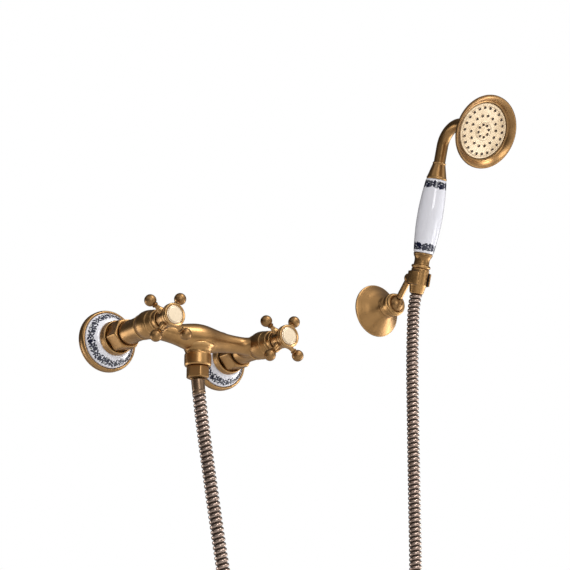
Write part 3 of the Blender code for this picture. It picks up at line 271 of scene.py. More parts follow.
# --- materials ------------------------------------------------------------------------------------
class Nodes:
    """Short calls that add nodes to a tree and link them."""

    def __init__(self, tree):
        self.tree = tree

    def add(self, kind, **settings):
        node = self.tree.nodes.new(kind)
        for key, value in settings.items():
            setattr(node, key, value)
        return node

    def feed(self, socket, value):
        if isinstance(value, bpy.types.NodeSocket):
            self.tree.links.new(value, socket)
        else:
            socket.default_value = value

    def math(self, operation, a, b=0.0, c=0.0, clamp=False):
        node = self.add("ShaderNodeMath", operation=operation, use_clamp=clamp)
        for socket, value in zip(node.inputs, (a, b, c)):
            self.feed(socket, value)
        return node.outputs[0]

    def noise(self, vector, scale, detail=4.0, rough=0.55):
        node = self.add("ShaderNodeTexNoise")
        self.feed(node.inputs["Vector"], vector)
        for key, value in (("Scale", scale), ("Detail", detail), ("Roughness", rough)):
            node.inputs[key].default_value = value
        return node.outputs["Fac"]

    def scaled(self, vector, scale):
        node = self.add("ShaderNodeMapping")
        self.feed(node.inputs["Vector"], vector)
        node.inputs["Scale"].default_value = scale
        return node.outputs["Vector"]

    def spread(self, value, low, high, to_low=0.0, to_high=1.0):
        node = self.add("ShaderNodeMapRange", interpolation_type="SMOOTHSTEP")
        for socket, given in zip(node.inputs, (value, low, high, to_low, to_high)):
            self.feed(socket, given)
        return node.outputs["Result"]

    def blend(self, share, a, b):
        node = self.add("ShaderNodeMix", data_type="RGBA", clamp_factor=True)
        self.feed(node.inputs["Factor"], share)
        self.feed(node.inputs["A"], a)
        self.feed(node.inputs["B"], b)
        return node.outputs["Result"]


def rgba(colour):
    return (*colour, 1.0)


def new_group(name, ins, outs):
    group = bpy.data.node_groups.new(name, "ShaderNodeTree")
    kinds = {"c": "NodeSocketColor", "f": "NodeSocketFloat", "v": "NodeSocketVector"}
    for label, kind in ins:
        group.interface.new_socket(name=label, in_out="INPUT", socket_type=kinds[kind])
    for label, kind in outs:
        group.interface.new_socket(name=label, in_out="OUTPUT", socket_type=kinds[kind])
    nodes = Nodes(group)
    return group, nodes, nodes.add("NodeGroupInput").outputs, nodes.add("NodeGroupOutput").inputs


def patina_group():
    """Aged plating: mottled colour, dark grooves, rubbed ridges and brush lines round each turned piece. The dark
    grooves are patina on the brass and painted shade in the hose's seams.
    """
    group, n, given, out = new_group(
        "patina", [("Light", "c"), ("Middle", "c"), ("Dark", "c"), ("Brushing", "f"), ("Roughness", "f")],
        [("Color", "c"), ("Roughness", "f"), ("Height", "f")])
    place = n.add("ShaderNodeTexCoord").outputs
    wear_and_seam_shade = n.add("ShaderNodeAttribute", attribute_name="wear_and_seam_shade").outputs["Fac"]
    cloudy = n.noise(place["Object"], 26.0, 5.0, 0.6)
    speckle = n.noise(place["Object"], 420.0, 3.0, 0.6)
    lines = n.noise(n.scaled(place["UV"], (2.5, 55.0, 1.0)), 1.0, 5.0, 0.65)
    # Darker in hollows: patina on the brass pieces, painted shade in the seams between the hose's turns.
    groove = n.spread(n.math("MULTIPLY", wear_and_seam_shade, -1.0), 0.04, 0.75)
    ridge = n.spread(wear_and_seam_shade, 0.12, 0.85)
    broad = n.noise(place["Object"], 11.0, 3.0, 0.5)
    dark = n.math(
        "MULTIPLY",
        n.spread(n.math("ADD", n.math("MULTIPLY", cloudy, 0.4), n.math("MULTIPLY", broad, 0.6)), 0.44, 0.66),
        0.62)
    dark = n.math("MAXIMUM", dark, n.math("MULTIPLY", groove, 0.92))
    colour = n.blend(dark, given["Middle"], given["Dark"])
    rub = n.math("MULTIPLY", ridge, n.spread(speckle, 0.25, 0.7, 0.55, 1.0))
    rub = n.math("MAXIMUM", rub, n.math("MULTIPLY", n.spread(lines, 0.42, 0.75), 0.38))
    colour = n.blend(n.math("MULTIPLY", rub, 0.8), colour, given["Light"])
    grain = n.math("MULTIPLY", n.math("SUBTRACT", lines, 0.5), given["Brushing"])
    rough = n.math("ADD", given["Roughness"], n.math("MULTIPLY", grain, 0.35))
    rough = n.math("ADD", rough, n.math("MULTIPLY", n.math("SUBTRACT", cloudy, 0.5), 0.18))
    rough = n.math("ADD", rough, n.math("MULTIPLY", groove, 0.22), clamp=True)
    height = n.math("ADD", n.math("MULTIPLY", grain, 0.6), n.math("MULTIPLY", speckle, 0.1))
    n.feed(out["Color"], colour)
    n.feed(out["Roughness"], rough)
    n.feed(out["Height"], height)
    return group


PATINA = patina_group()


def principled(name):
    material = bpy.data.materials.new(name)
    material.use_nodes = True
    nodes = Nodes(material.node_tree)
    return material, nodes, material.node_tree.nodes["Principled BSDF"].inputs


def brass(name, light, middle, dark, roughness, brushing=0.5, bump=0.12):
    material, n, shader = principled(name)
    patina = n.add("ShaderNodeGroup", node_tree=PATINA)
    for label, value in (("Light", rgba(light)), ("Middle", rgba(middle)), ("Dark", rgba(dark)),
                         ("Brushing", brushing), ("Roughness", roughness)):
        n.feed(patina.inputs[label], value)
    relief = n.add("ShaderNodeBump")
    relief.inputs["Strength"].default_value = bump
    relief.inputs["Distance"].default_value = 0.0002
    n.feed(relief.inputs["Height"], patina.outputs["Height"])
    n.feed(shader["Base Color"], patina.outputs["Color"])
    n.feed(shader["Roughness"], patina.outputs["Roughness"])
    n.feed(shader["Normal"], relief.outputs["Normal"])
    shader["Metallic"].default_value = 1.0
    shader["Coat Weight"].default_value = 0.0
    material.diffuse_color = rgba(middle)
    return material


def plain(name, colour, roughness, grain=0.06, scale=300.0, metallic=0.0):
    """Moulded or drawn stuff with a fine grain and a slight change of shade."""
    material, n, shader = principled(name)
    place = n.add("ShaderNodeTexCoord").outputs["Object"]
    fine = n.noise(place, scale, 3.0)
    broad = n.noise(place, 40.0, 3.0)
    dark = tuple(c * (1 - 2 * grain) for c in colour)
    n.feed(shader["Base Color"], n.blend(broad, rgba(colour), rgba(dark)))
    n.feed(shader["Roughness"], n.spread(fine, 0.2, 0.8, roughness - 0.06, roughness + 0.08))
    relief = n.add("ShaderNodeBump")
    relief.inputs["Strength"].default_value = grain
    relief.inputs["Distance"].default_value = 0.0001
    n.feed(relief.inputs["Height"], fine)
    n.feed(shader["Normal"], relief.outputs["Normal"])
    shader["Metallic"].default_value = metallic
    material.diffuse_color = rgba(colour)
    return material


def scroll_group():
    """Painted border of flowers, leaves and curls. X runs along it in repeats, Y across it from 0 to 1."""
    group, n, given, out = new_group(
        "scroll_border", [("Pattern", "v"), ("Aspect", "f"), ("Rule", "f")], [("Ink", "f"), ("Tint", "f")])
    split = n.add("ShaderNodeSeparateXYZ")
    n.feed(split.inputs[0], given["Pattern"])
    repeat, across = split.outputs[0], split.outputs[1]
    x = n.math("MULTIPLY", n.math("SUBTRACT", n.math("FRACT", repeat), 0.5), given["Aspect"])
    y = n.math("SUBTRACT", across, 0.5)
    half = n.math("MULTIPLY", given["Aspect"], 0.5)

    def around(cx, cy):
        """Distance and direction from a point given as a share of half the repeat and of the width."""
        dx = n.math("SUBTRACT", x, n.math("MULTIPLY", half, cx))
        dy = n.math("SUBTRACT", y, cy)
        reach = n.math("SQRT", n.math("ADD", n.math("MULTIPLY", dx, dx), n.math("MULTIPLY", dy, dy)))
        return dx, dy, reach

    def below(value, limit, soft=0.03):
        return n.spread(value, limit - soft, limit + soft, 1.0, 0.0)

    def petals(cx, cy, size, count, phase=0.0):
        dx, dy, reach = around(cx, cy)
        angle = n.math("ADD", n.math("MULTIPLY", n.math("ARCTAN2", dy, dx), count), phase)
        edge = n.math(
            "MULTIPLY", n.math("ADD", n.math("MULTIPLY", n.math("COSINE", angle), 0.28), 0.80), size)
        mask = n.spread(n.math("SUBTRACT", reach, edge), -0.03, 0.03, 1.0, 0.0)
        eye = n.spread(reach, size * 0.12, size * 0.26)
        return n.math("MULTIPLY", mask, eye)

    def leaf(cx, cy, long, wide, turn):
        dx, dy, _ = around(cx, cy)
        cos, sin = math.cos(turn), math.sin(turn)
        a = n.math("ADD", n.math("MULTIPLY", dx, cos / long), n.math("MULTIPLY", dy, sin / long))
        b = n.math("SUBTRACT", n.math("MULTIPLY", dy, cos / wide), n.math("MULTIPLY", dx, sin / wide))
        return below(n.math("ADD", n.math("MULTIPLY", a, a), n.math("MULTIPLY", b, b)), 1.0, 0.25)

    def curl(cx, cy, size, phase, thick=0.09):
        """Spiral stroke: its radius grows by the thickness of four strokes in a turn."""
        dx, dy, reach = around(cx, cy)
        turn = n.math("ADD", n.math("DIVIDE", n.math("ARCTAN2", dy, dx), 2 * math.pi), phase)
        phase_at = n.math("FRACT", n.math("ADD", n.math("DIVIDE", reach, size * 0.5), turn))
        line = below(n.math("ABSOLUTE", n.math("SUBTRACT", phase_at, 0.5)), thick / size * 1.6, 0.06)
        return n.math("MULTIPLY", line, below(reach, size, 0.02))

    ink = petals(0.0, 0.03, 0.44, 5.0, 0.6)
    strokes = [
        petals(-0.98, -0.06, 0.38, 6.0), petals(0.98, -0.06, 0.38, 6.0),
        curl(0.46, 0.14, 0.27, 0.15), curl(-0.48, -0.12, 0.27, 0.65),
        leaf(0.50, -0.27, 0.21, 0.11, 0.4), leaf(-0.46, 0.30, 0.21, 0.11, 0.4),
        leaf(0.76, 0.24, 0.17, 0.095, -0.8), leaf(-0.76, -0.34, 0.17, 0.095, -0.8),
    ]
    for stroke in strokes:
        ink = n.math("MAXIMUM", ink, stroke)
    tint = leaf(0.24, -0.26, 0.17, 0.08, 0.5)
    for one in (leaf(-0.22, -0.30, 0.16, 0.07, -0.6), leaf(0.62, -0.06, 0.15, 0.07, -0.9),
                leaf(-0.66, 0.08, 0.15, 0.07, -0.9), leaf(0.20, 0.38, 0.14, 0.06, -0.2)):
        tint = n.math("MAXIMUM", tint, one)
    stem_wave = n.math("MULTIPLY", n.math("SINE", n.math("MULTIPLY", repeat, 4 * math.pi)), 0.20)
    stem = below(n.math("ABSOLUTE", n.math("SUBTRACT", y, stem_wave)), 0.05, 0.02)
    ink = n.math("MAXIMUM", ink, stem)
    inside = below(n.math("ABSOLUTE", y), 0.5, 0.01)
    edge_line = below(n.math("ABSOLUTE", n.math("ADD", y, 0.60)), 0.045, 0.02)
    edge_line = n.math("MULTIPLY", edge_line, given["Rule"])
    ink = n.math("MAXIMUM", n.math("MULTIPLY", ink, inside), edge_line, clamp=True)
    n.feed(out["Ink"], ink)
    n.feed(out["Tint"], n.math("MULTIPLY", tint, inside, clamp=True))
    return group


SCROLL = scroll_group()


def glaze(name, aspect, rule):
    """White porcelain under a clear glaze, with the painted border where the pattern map runs from 0 to 1."""
    material, n, shader = principled(name)
    place = n.add("ShaderNodeTexCoord").outputs
    border = n.add("ShaderNodeGroup", node_tree=SCROLL)
    n.feed(border.inputs["Pattern"], place["UV"])
    n.feed(border.inputs["Aspect"], aspect)
    n.feed(border.inputs["Rule"], rule)
    cloud = n.noise(place["Object"], 30.0, 3.0)
    white = n.blend(cloud, rgba((0.90, 0.90, 0.955)), rgba((0.85, 0.85, 0.91)))
    ink = n.blend(
        n.noise(place["Object"], 500.0, 2.0), rgba((0.004, 0.006, 0.022)), rgba((0.012, 0.015, 0.042)))
    colour = n.blend(border.outputs["Tint"], white, rgba((0.16, 0.17, 0.13)))
    colour = n.blend(border.outputs["Ink"], colour, ink)
    n.feed(shader["Base Color"], colour)
    n.feed(shader["Roughness"], n.spread(cloud, 0.3, 0.7, 0.07, 0.13))
    shader["Coat Weight"].default_value = 0.6
    shader["Coat Roughness"].default_value = 0.04
    material.diffuse_color = rgba((0.86, 0.86, 0.88))
    return material


AGED = brass("aged_brass", (0.66, 0.405, 0.172), (0.40, 0.223, 0.086), (0.062, 0.029, 0.012), 0.37)
AGED_FINE = brass(
    "aged_brass_fine", (0.68, 0.425, 0.187), (0.42, 0.236, 0.095), (0.067, 0.032, 0.014), 0.33, 0.25)
AGED_DARK = brass(
    "aged_brass_dark", (0.52, 0.37, 0.25), (0.29, 0.19, 0.118), (0.050, 0.028, 0.017), 0.32, 0.3)
PALE = brass("pale_brass", (0.96, 0.83, 0.65), (0.87, 0.72, 0.52), (0.52, 0.36, 0.19), 0.40, 0.12, 0.04)
RAW = brass("plain_brass", (0.80, 0.62, 0.32), (0.62, 0.45, 0.20), (0.36, 0.24, 0.10), 0.36, 0.6)
# Hose finish: its nearly black dark colour is painted shade, laid into the seams between turns and also into the
# random mottling.
HOSE = brass("hose_bronze", (0.68, 0.56, 0.49), (0.38, 0.28, 0.225), (0.016, 0.009, 0.006), 0.27, 0.05, 0.04)
RING_GLAZE = glaze("ring_glaze", 2.8, 1.0)
GRIP_GLAZE = glaze("grip_glaze", 1.6, 0.0)
RUBBER = plain("black_rubber", (0.02, 0.02, 0.02), 0.7)
LINER = plain("black_liner", (0.016, 0.016, 0.017), 0.38)
NYLON = plain("nylon", (0.75, 0.73, 0.68), 0.5)
ALUMINA = plain("alumina", (0.80, 0.78, 0.74), 0.28)
STEEL = plain("steel", (0.55, 0.55, 0.56), 0.34, metallic=1.0)
# Painted shade: dark brown colour for the inside of the nozzle holes.
SHADOW = plain("nozzle_painted_shade", (0.060, 0.034, 0.018), 0.6)
CAD_FINISH = {
    "aged_brass": AGED, "pale_brass": PALE, "plain_brass": RAW, "hose_metal": HOSE, "white_glaze": RING_GLAZE,
    "alumina": ALUMINA, "steel": STEEL, "black_rubber": RUBBER, "nylon": NYLON, "black_liner": LINER}


def finish_cad_nodes():
    slots = {row["node"]: row["material_slot"] for row in frame["record"]["subparts"]}
    for name, node in frame["nodes"].items():
        for holder in node.material_slots:
            holder.material = CAD_FINISH[slots[name]]


# --- camera ---------------------------------------------------------------------------------------
CAMERA_TARGET = (0.14442, -0.040, 0.09561)
CAMERA_AZIMUTH, CAMERA_ELEVATION = math.radians(-36.0), math.radians(-16.5)
CAMERA_DISTANCE = 2.24568


def add_camera():
    back = Vector((
        math.sin(CAMERA_AZIMUTH) * math.cos(CAMERA_ELEVATION),
        -math.cos(CAMERA_AZIMUTH) * math.cos(CAMERA_ELEVATION), math.sin(CAMERA_ELEVATION)))
    lens = bpy.data.cameras.new("camera")
    lens.lens, lens.sensor_width = 120.0, 36.0
    lens.clip_start, lens.clip_end = 0.05, 50.0
    camera = bpy.data.objects.new("camera", lens)
    camera.location = Vector(CAMERA_TARGET) + back * CAMERA_DISTANCE
    camera.rotation_euler = back.to_track_quat("Z", "Y").to_euler()
    bpy.context.scene.collection.objects.link(camera)
    bpy.context.scene.camera = camera


# --- hose -----------------------------------------------------------------------------------------
HOSE_RADIUS = 7.5
HOSE_PITCH = 5.6
SEAM_SHARE, SEAM_DEPTH = 0.18, 1.6  # half width of a seam as a share of the pitch, and its depth
OUTLET_TOP, OUTLET_HEIGHT, HOSE_NUT_LENGTH, GAP = 17.6, 14.2, 13.0, 0.3
OUTLET_RADIUS, FERRULE_RADIUS = 15.1, 7.7
OUTLET_BOTTOM = -OUTLET_TOP - GAP - OUTLET_HEIGHT
HOSE_NUT_BOTTOM = OUTLET_BOTTOM - GAP - HOSE_NUT_LENGTH
FERRULE_LEAN, FERRULE_LENGTH, FERRULE_DROP = math.radians(7.5), 16.8, 1.2
CONE_BOTTOM = -18.5
HOSE_ROUTE = (
    (0.0079, -0.0746, -0.1000),
    (0.0142, -0.0744, -0.1350),
    (0.0206, -0.0742, -0.1700),
    (0.0280, -0.0738, -0.2080),
    (0.0385, -0.0734, -0.2600),
    (0.0560, -0.0728, -0.3400),
    (0.0780, -0.0722, -0.4200),
    (0.1060, -0.0715, -0.5050),
    (0.1400, -0.0706, -0.5730),
    (0.1790, -0.0698, -0.6140),
    (0.2230, -0.0690, -0.6170),
    (0.2600, -0.0684, -0.5860),
    (0.2860, -0.0680, -0.5300),
    (0.3030, -0.0676, -0.4400),
    (0.3110, -0.0674, -0.3400),
    (0.3136, -0.0674, -0.2400),
    (0.3138, -0.0676, -0.1500),
    (0.3138, -0.0679, -0.0600),
    (0.3138, -0.0688, 0.0200),
    (0.3138, -0.0722, 0.0760),
)
HOSE_CUTS = ((-0.420, "root", None), (-0.095, "root", "bracket_ball"), (0.004, "bracket_ball", "holder_arm"),
             (None, "holder_arm", "hose_end"))  # top of each stretch on the rising leg, and its bodies


def hose_line():
    """The hose's centreline, millimetres, a point every 0.35 mm."""
    out = np.array([math.sin(FERRULE_LEAN), 0, -math.cos(FERRULE_LEAN)])
    start = np.array([0, -BODY_DEPTH, HOSE_NUT_BOTTOM]) + out * (FERRULE_DROP + FERRULE_LENGTH + GAP)
    end = GRIP_ORIGIN + GRIP_AXIS * (CONE_BOTTOM - GAP)
    route = [start, start + out * 12, *(np.array(HOSE_ROUTE) / MM), end - GRIP_AXIS * 12, end]
    fine = flowing(route, 60)
    along = np.concatenate([[0], np.cumsum(np.linalg.norm(np.diff(fine, axis=0), axis=1))])
    even = np.linspace(0, along[-1], int(along[-1] / 0.5))
    return np.stack([np.interp(even, along, fine[:, k]) for k in range(3)], axis=1), even


def strip_radius(along, angle):
    """Wound strip: a low crown over each pitch and a rounded seam between turns, running as a helix."""
    phase = np.mod(along / HOSE_PITCH - angle / (2 * math.pi), 1.0)
    seam = np.minimum(phase, 1.0 - phase) / SEAM_SHARE
    return HOSE_RADIUS - 0.3 * (2 * phase - 1.0) ** 2 - SEAM_DEPTH * np.exp(-(seam**2))


def add_hose():
    line, along = hose_line()
    rising = (line[:, 0] > 200) & (line[:, 2] > -500)
    first = 0
    for k, (top, body_a, body_b) in enumerate(HOSE_CUTS):
        last = len(line) - 1 if top is None else int(np.argmax(rising & (line[:, 2] > top / MM)))
        stretch, offset = line[first:last + 1], along[first]
        points, quads, uv, radius, _ = carried(
            stretch, lambda s, a, start=offset: strip_radius(s + start, a), 24)
        # Seams get the lowest values, so the patina paints them nearly black (painted shade in the seams); crowns
        # get the highest and are rubbed lighter.
        wear_and_seam_shade = np.clip(0.45 - (HOSE_RADIUS - radius) / SEAM_DEPTH * 1.9, -1, 0.45)
        wear_and_seam_shade = np.concatenate([wear_and_seam_shade[:1], wear_and_seam_shade, wear_and_seam_shade[-1:]]).reshape(-1)
        name = "hose_lower" if k == 0 else f"hose_rise_{k}"
        replaced = ("hose_loop",) if k == 0 else ("hose_riser",)
        piece = make_piece(
            name, joined((points, quads, uv, wear_and_seam_shade)), HOSE, None if body_b else body_a, replaced)
        if body_b:
            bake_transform(piece)
        first = last


# --- inlets ---------------------------------------------------------------------------------------
FLANGE_RADIUS, FLANGE_RIM = 35.0, 9.6
CERAMIC_OUTER, CERAMIC_INNER = 31.6, 17.4
RING_BASE, RING_TOP, RING_THICK = 8.05, 18.0, 2.6
COLLAR_SEAT, COLLAR_RADIUS, COLLAR_LENGTH = 20.9, 19.6, 8.6
NUT_BACK, NUT_LENGTH, NUT_FLATS = 30.2, 19.0, 31.2
NUT_FRONT = NUT_BACK + NUT_LENGTH
NUT_TURN = math.radians(10)


def ring_outline():
    """Crowned front of the glazed ring, from the collar out to the rim."""
    inner, outer = CERAMIC_INNER, CERAMIC_OUTER - 0.1
    top = RING_TOP + RING_THICK
    face = flowing([(inner + 1.0, top + 0.05), (inner + 4.6, top - 1.25), (inner + 8.6, top - 4.6),
                    (outer - 1.4, RING_BASE + RING_THICK + 0.4), (outer - 0.25, RING_BASE + RING_THICK - 1.3)], 10)
    return np.array([
        (inner, RING_TOP), (inner, top - 0.3), *face, (outer, RING_BASE + 0.6), (outer - 0.3, RING_BASE),
        (inner, RING_TOP)])


def ring_band(profile, length):
    """Pattern map across the outer part of the ring's face."""
    radius = profile[:, 0]
    across = (CERAMIC_OUTER - 0.9 - radius) / 7.6
    behind = np.arange(len(profile)) >= len(profile) - 3
    return np.where(behind, -0.5, across)


def add_inlet(side):
    place = INLET[side]
    rim = [
        (13.5, 16.0), (17.0, 17.6), (CERAMIC_OUTER + 0.2, 7.6, 0.1),
        (CERAMIC_OUTER + 0.3, FLANGE_RIM - 0.7, 0.5), (CERAMIC_OUTER + 1.1, FLANGE_RIM + 0.05, 0.6),
        (FLANGE_RADIUS - 1.5, FLANGE_RIM - 0.2, 1.2), (FLANGE_RADIUS - 0.1, FLANGE_RIM - 2.2, 1.6),
        (FLANGE_RADIUS, 4.6, 1.0), (FLANGE_RADIUS - 0.5, 2.6, 0.4), (FLANGE_RADIUS - 0.1, 1.9, 0.4),
        (FLANGE_RADIUS - 0.5, 0.25, 0.4), (FLANGE_RADIUS - 1.0, 0.0, 0.2), (29.8, 0.0), (28.8, 5.8),
        (16.4, 15.2), (13.5, 15.2), (13.5, 16.0)]
    make_piece(
        f"flange_dish_{side}", lathe(eased(rim), place, steps=128), AGED, "root",
        [f"wall_flange_{side}"])
    make_piece(
        f"glazed_ring_{side}", lathe(ring_outline(), place, steps=128, tiles=8, band=ring_band), RING_GLAZE,
        "root", [f"ceramic_ring_{side}"])
    front = COLLAR_SEAT + COLLAR_LENGTH
    collar = [
        (13.4, front - 3.4), (COLLAR_RADIUS - 2.6, front - 2.6, 0.5), (COLLAR_RADIUS - 2.2, front - 0.3, 0.5),
        (COLLAR_RADIUS - 1.2, front + 0.05, 0.6), (COLLAR_RADIUS - 0.3, front - 1.2, 0.8),
        (COLLAR_RADIUS - 0.5, front - 2.6, 0.5), (COLLAR_RADIUS + 0.1, COLLAR_SEAT + 1.6, 1.5),
        (COLLAR_RADIUS + 0.2, COLLAR_SEAT + 0.2, 0.5), (17.05, COLLAR_SEAT, 0.1), (17.05, 18.0), (13.4, 18.0),
        (13.4, front - 3.4)]
    make_piece(
        f"clamp_collar_{side}", lathe(eased(collar), place, steps=96), AGED, "root",
        [f"flange_collar_{side}"])
    make_piece(
        f"hex_union_{side}", hexagon(NUT_FLATS, NUT_BACK, NUT_FRONT, 12.0, 2.6, place, NUT_TURN), AGED,
        "root", [f"union_nut_{side}"])


# --- mixer body -----------------------------------------------------------------------------------
LEG_BACK = NUT_FRONT + 0.3
LEG_RADIUS, BEAD_DEPTH, BEAD_RADIUS = 13.6, 81.5, 14.2
VALVE_RADIUS, VALVE_WAIST, VALVE_FRONT = 15.8, 14.0, 104.0
CROSS_WAIST, CROSS_BELLY, CROSS_SPREAD, CROSS_BOW = 9.6, 16.3, 27.0, 5.0
FILLET = 13.0  # how far the cross tube's ends flare before they meet the legs


def cross_radius(x):
    return CROSS_WAIST + (CROSS_BELLY - CROSS_WAIST) * np.exp(-((x / CROSS_SPREAD) ** 2))


def cross_tube():
    """Cross tube: a bellied bar along X that bows forward and flares in a quarter ellipse on to the legs."""
    angles = np.arange(97) * 2 * math.pi / 96
    share = np.linspace(0, 1, 60)[:, None]
    tall = LEG_RADIUS - 1.0
    meet = INLET_X - np.sqrt(LEG_RADIUS**2 - (tall * np.sin(angles)) ** 2)[None, :]
    x = meet * share
    flare = 1 - np.sqrt(1 - np.clip((x - (meet - FILLET)) / FILLET, 0, 1) ** 2)
    up = cross_radius(x) + flare * (tall - CROSS_WAIST)
    out = cross_radius(x) + flare * FILLET * 0.8
    x, up, out = (
        np.concatenate([a, last]) for a,
        last in ((x, meet + 3.0), (up, up[-1:] * 0.9), (out, out[-1:] * 0.9)))
    x = np.concatenate([-x[::-1], x[1:]])
    up, out = (np.concatenate([a[::-1], a[1:]]) for a in (up, out))
    axis = -BODY_DEPTH - CROSS_BOW * (x / INLET_X) ** 2
    points = np.stack([x, axis + out * np.cos(angles), up * np.sin(angles)], axis=2)
    tip = np.stack([x[[0, -1]], axis[[0, -1]], np.zeros((2, 97))], axis=2)
    points = np.concatenate([tip[:1], points, tip[1:]])
    quads = grid_faces(len(points), 97, False, False)
    u = np.broadcast_to(angles / (2 * math.pi), points.shape[:2])
    uv = np.stack([u, points[:, :, 0] / 10], axis=2).reshape(-1, 2)
    return points.reshape(-1, 3), quads, uv, np.zeros(points.shape[0] * 97)


def leg_outline():
    """Front face of the valve housing, its bulge, the thin bead and the straight leg behind it."""
    face, back = VALVE_FRONT, LEG_BACK + 0.4
    bulge = flowing([(VALVE_WAIST + 0.4, face - 1.8), (VALVE_RADIUS - 0.5, face - 6.0), (VALVE_RADIUS, face - 11.0),
                     (VALVE_RADIUS - 0.4, BEAD_DEPTH + 7.0), (LEG_RADIUS + 0.4, BEAD_DEPTH + 2.6)], 8)
    return [
        (0, face - 0.6), (11.2, face - 0.6), (11.2, face), (VALVE_WAIST - 0.4, face, 0.4),
        (VALVE_WAIST + 0.2, face - 0.8, 0.4), *bulge, (LEG_RADIUS + 0.2, BEAD_DEPTH + 1.7, 0.2),
        (BEAD_RADIUS + 0.2, BEAD_DEPTH + 1.1, 0.4), (BEAD_RADIUS + 0.2, BEAD_DEPTH - 0.6, 0.4),
        (LEG_RADIUS - 0.5, BEAD_DEPTH - 1.4, 0.3), (LEG_RADIUS - 0.3, BEAD_DEPTH - 4.0, 2.0),
        (LEG_RADIUS - 0.7, BEAD_DEPTH - 18.0, 4.0), (LEG_RADIUS - 0.4, back + 5.0, 2.0),
        (LEG_RADIUS - 0.5, back + 1.6, 0.6), (LEG_RADIUS - 1.4, back, 0.5), (0, back)]


def add_mixer_body():
    legs = [turned(eased(leg_outline()), INLET[side], steps=96) for side in SIDES]
    neck = flowing([(0, -6), (17.4, -7.0), (15.6, -12.6), (14.4, -15.6), (14.0, -OUTLET_TOP)], 6)
    neck = np.concatenate([neck, [(0, -OUTLET_TOP)]])
    shape = joined(cross_tube(), *legs, turned(neck, OUTLET, steps=96))
    make_piece("mixer_casting", shape, AGED, "root", ["mixer_body"])


def add_bonnet(side):
    back, front, hole = VALVE_FRONT + GAP, VALVE_FRONT + GAP + BONNET_LENGTH, 7.6
    nose, pocket, floor = front + 2.4, 12.15, back + 3.5
    profile = [
        (hole, nose), (BONNET_NOSE - 0.5, nose, 0.3), (BONNET_NOSE, nose - 0.8, 0.3),
        (BONNET_NOSE, front - 3.0, 0.3), (BONNET_NOSE + 1.2, front - 3.9, 0.5),
        (BONNET_NOSE + 1.5, front - 5.0, 0.5), (BONNET_NOSE + 0.7, front - 6.2, 0.3),
        (VALVE_WAIST - 1.5, front - 7.2, 0.6), (VALVE_WAIST - 0.4, back + 2.2, 1.0),
        (VALVE_WAIST + 0.1, back + 1.1, 0.4), (VALVE_WAIST - 0.3, back, 0.3), (pocket, back), (pocket, floor),
        (hole, floor), (hole, nose)]
    make_piece(
        f"turned_bonnet_{side}", lathe(eased(profile), INLET[side], steps=96), AGED, "root",
        [f"bonnet_{side}"])


# --- handles --------------------------------------------------------------------------------------
BONNET_LENGTH, BONNET_NOSE = 13.0, 11.4
HUB_BACK, HUB_WAIST, SPOKE_DEPTH, SPOKE_REACH, BALL_RADIUS = 120.6, 10.6, 130.0, 27.1, 6.6
DIAL_BACK, DIAL_FRONT, DIAL_RADIUS, BUTTON_RADIUS = 136.5, 144.5, 13.2, 9.9


def arc(radius, centre, first, last, count):
    """Points of a circle in the profile plane, angles in degrees from the +radius direction."""
    angle = np.radians(np.linspace(first, last, count))
    return np.stack([centre[0] + radius * np.cos(angle), centre[1] + radius * np.sin(angle)], axis=1)


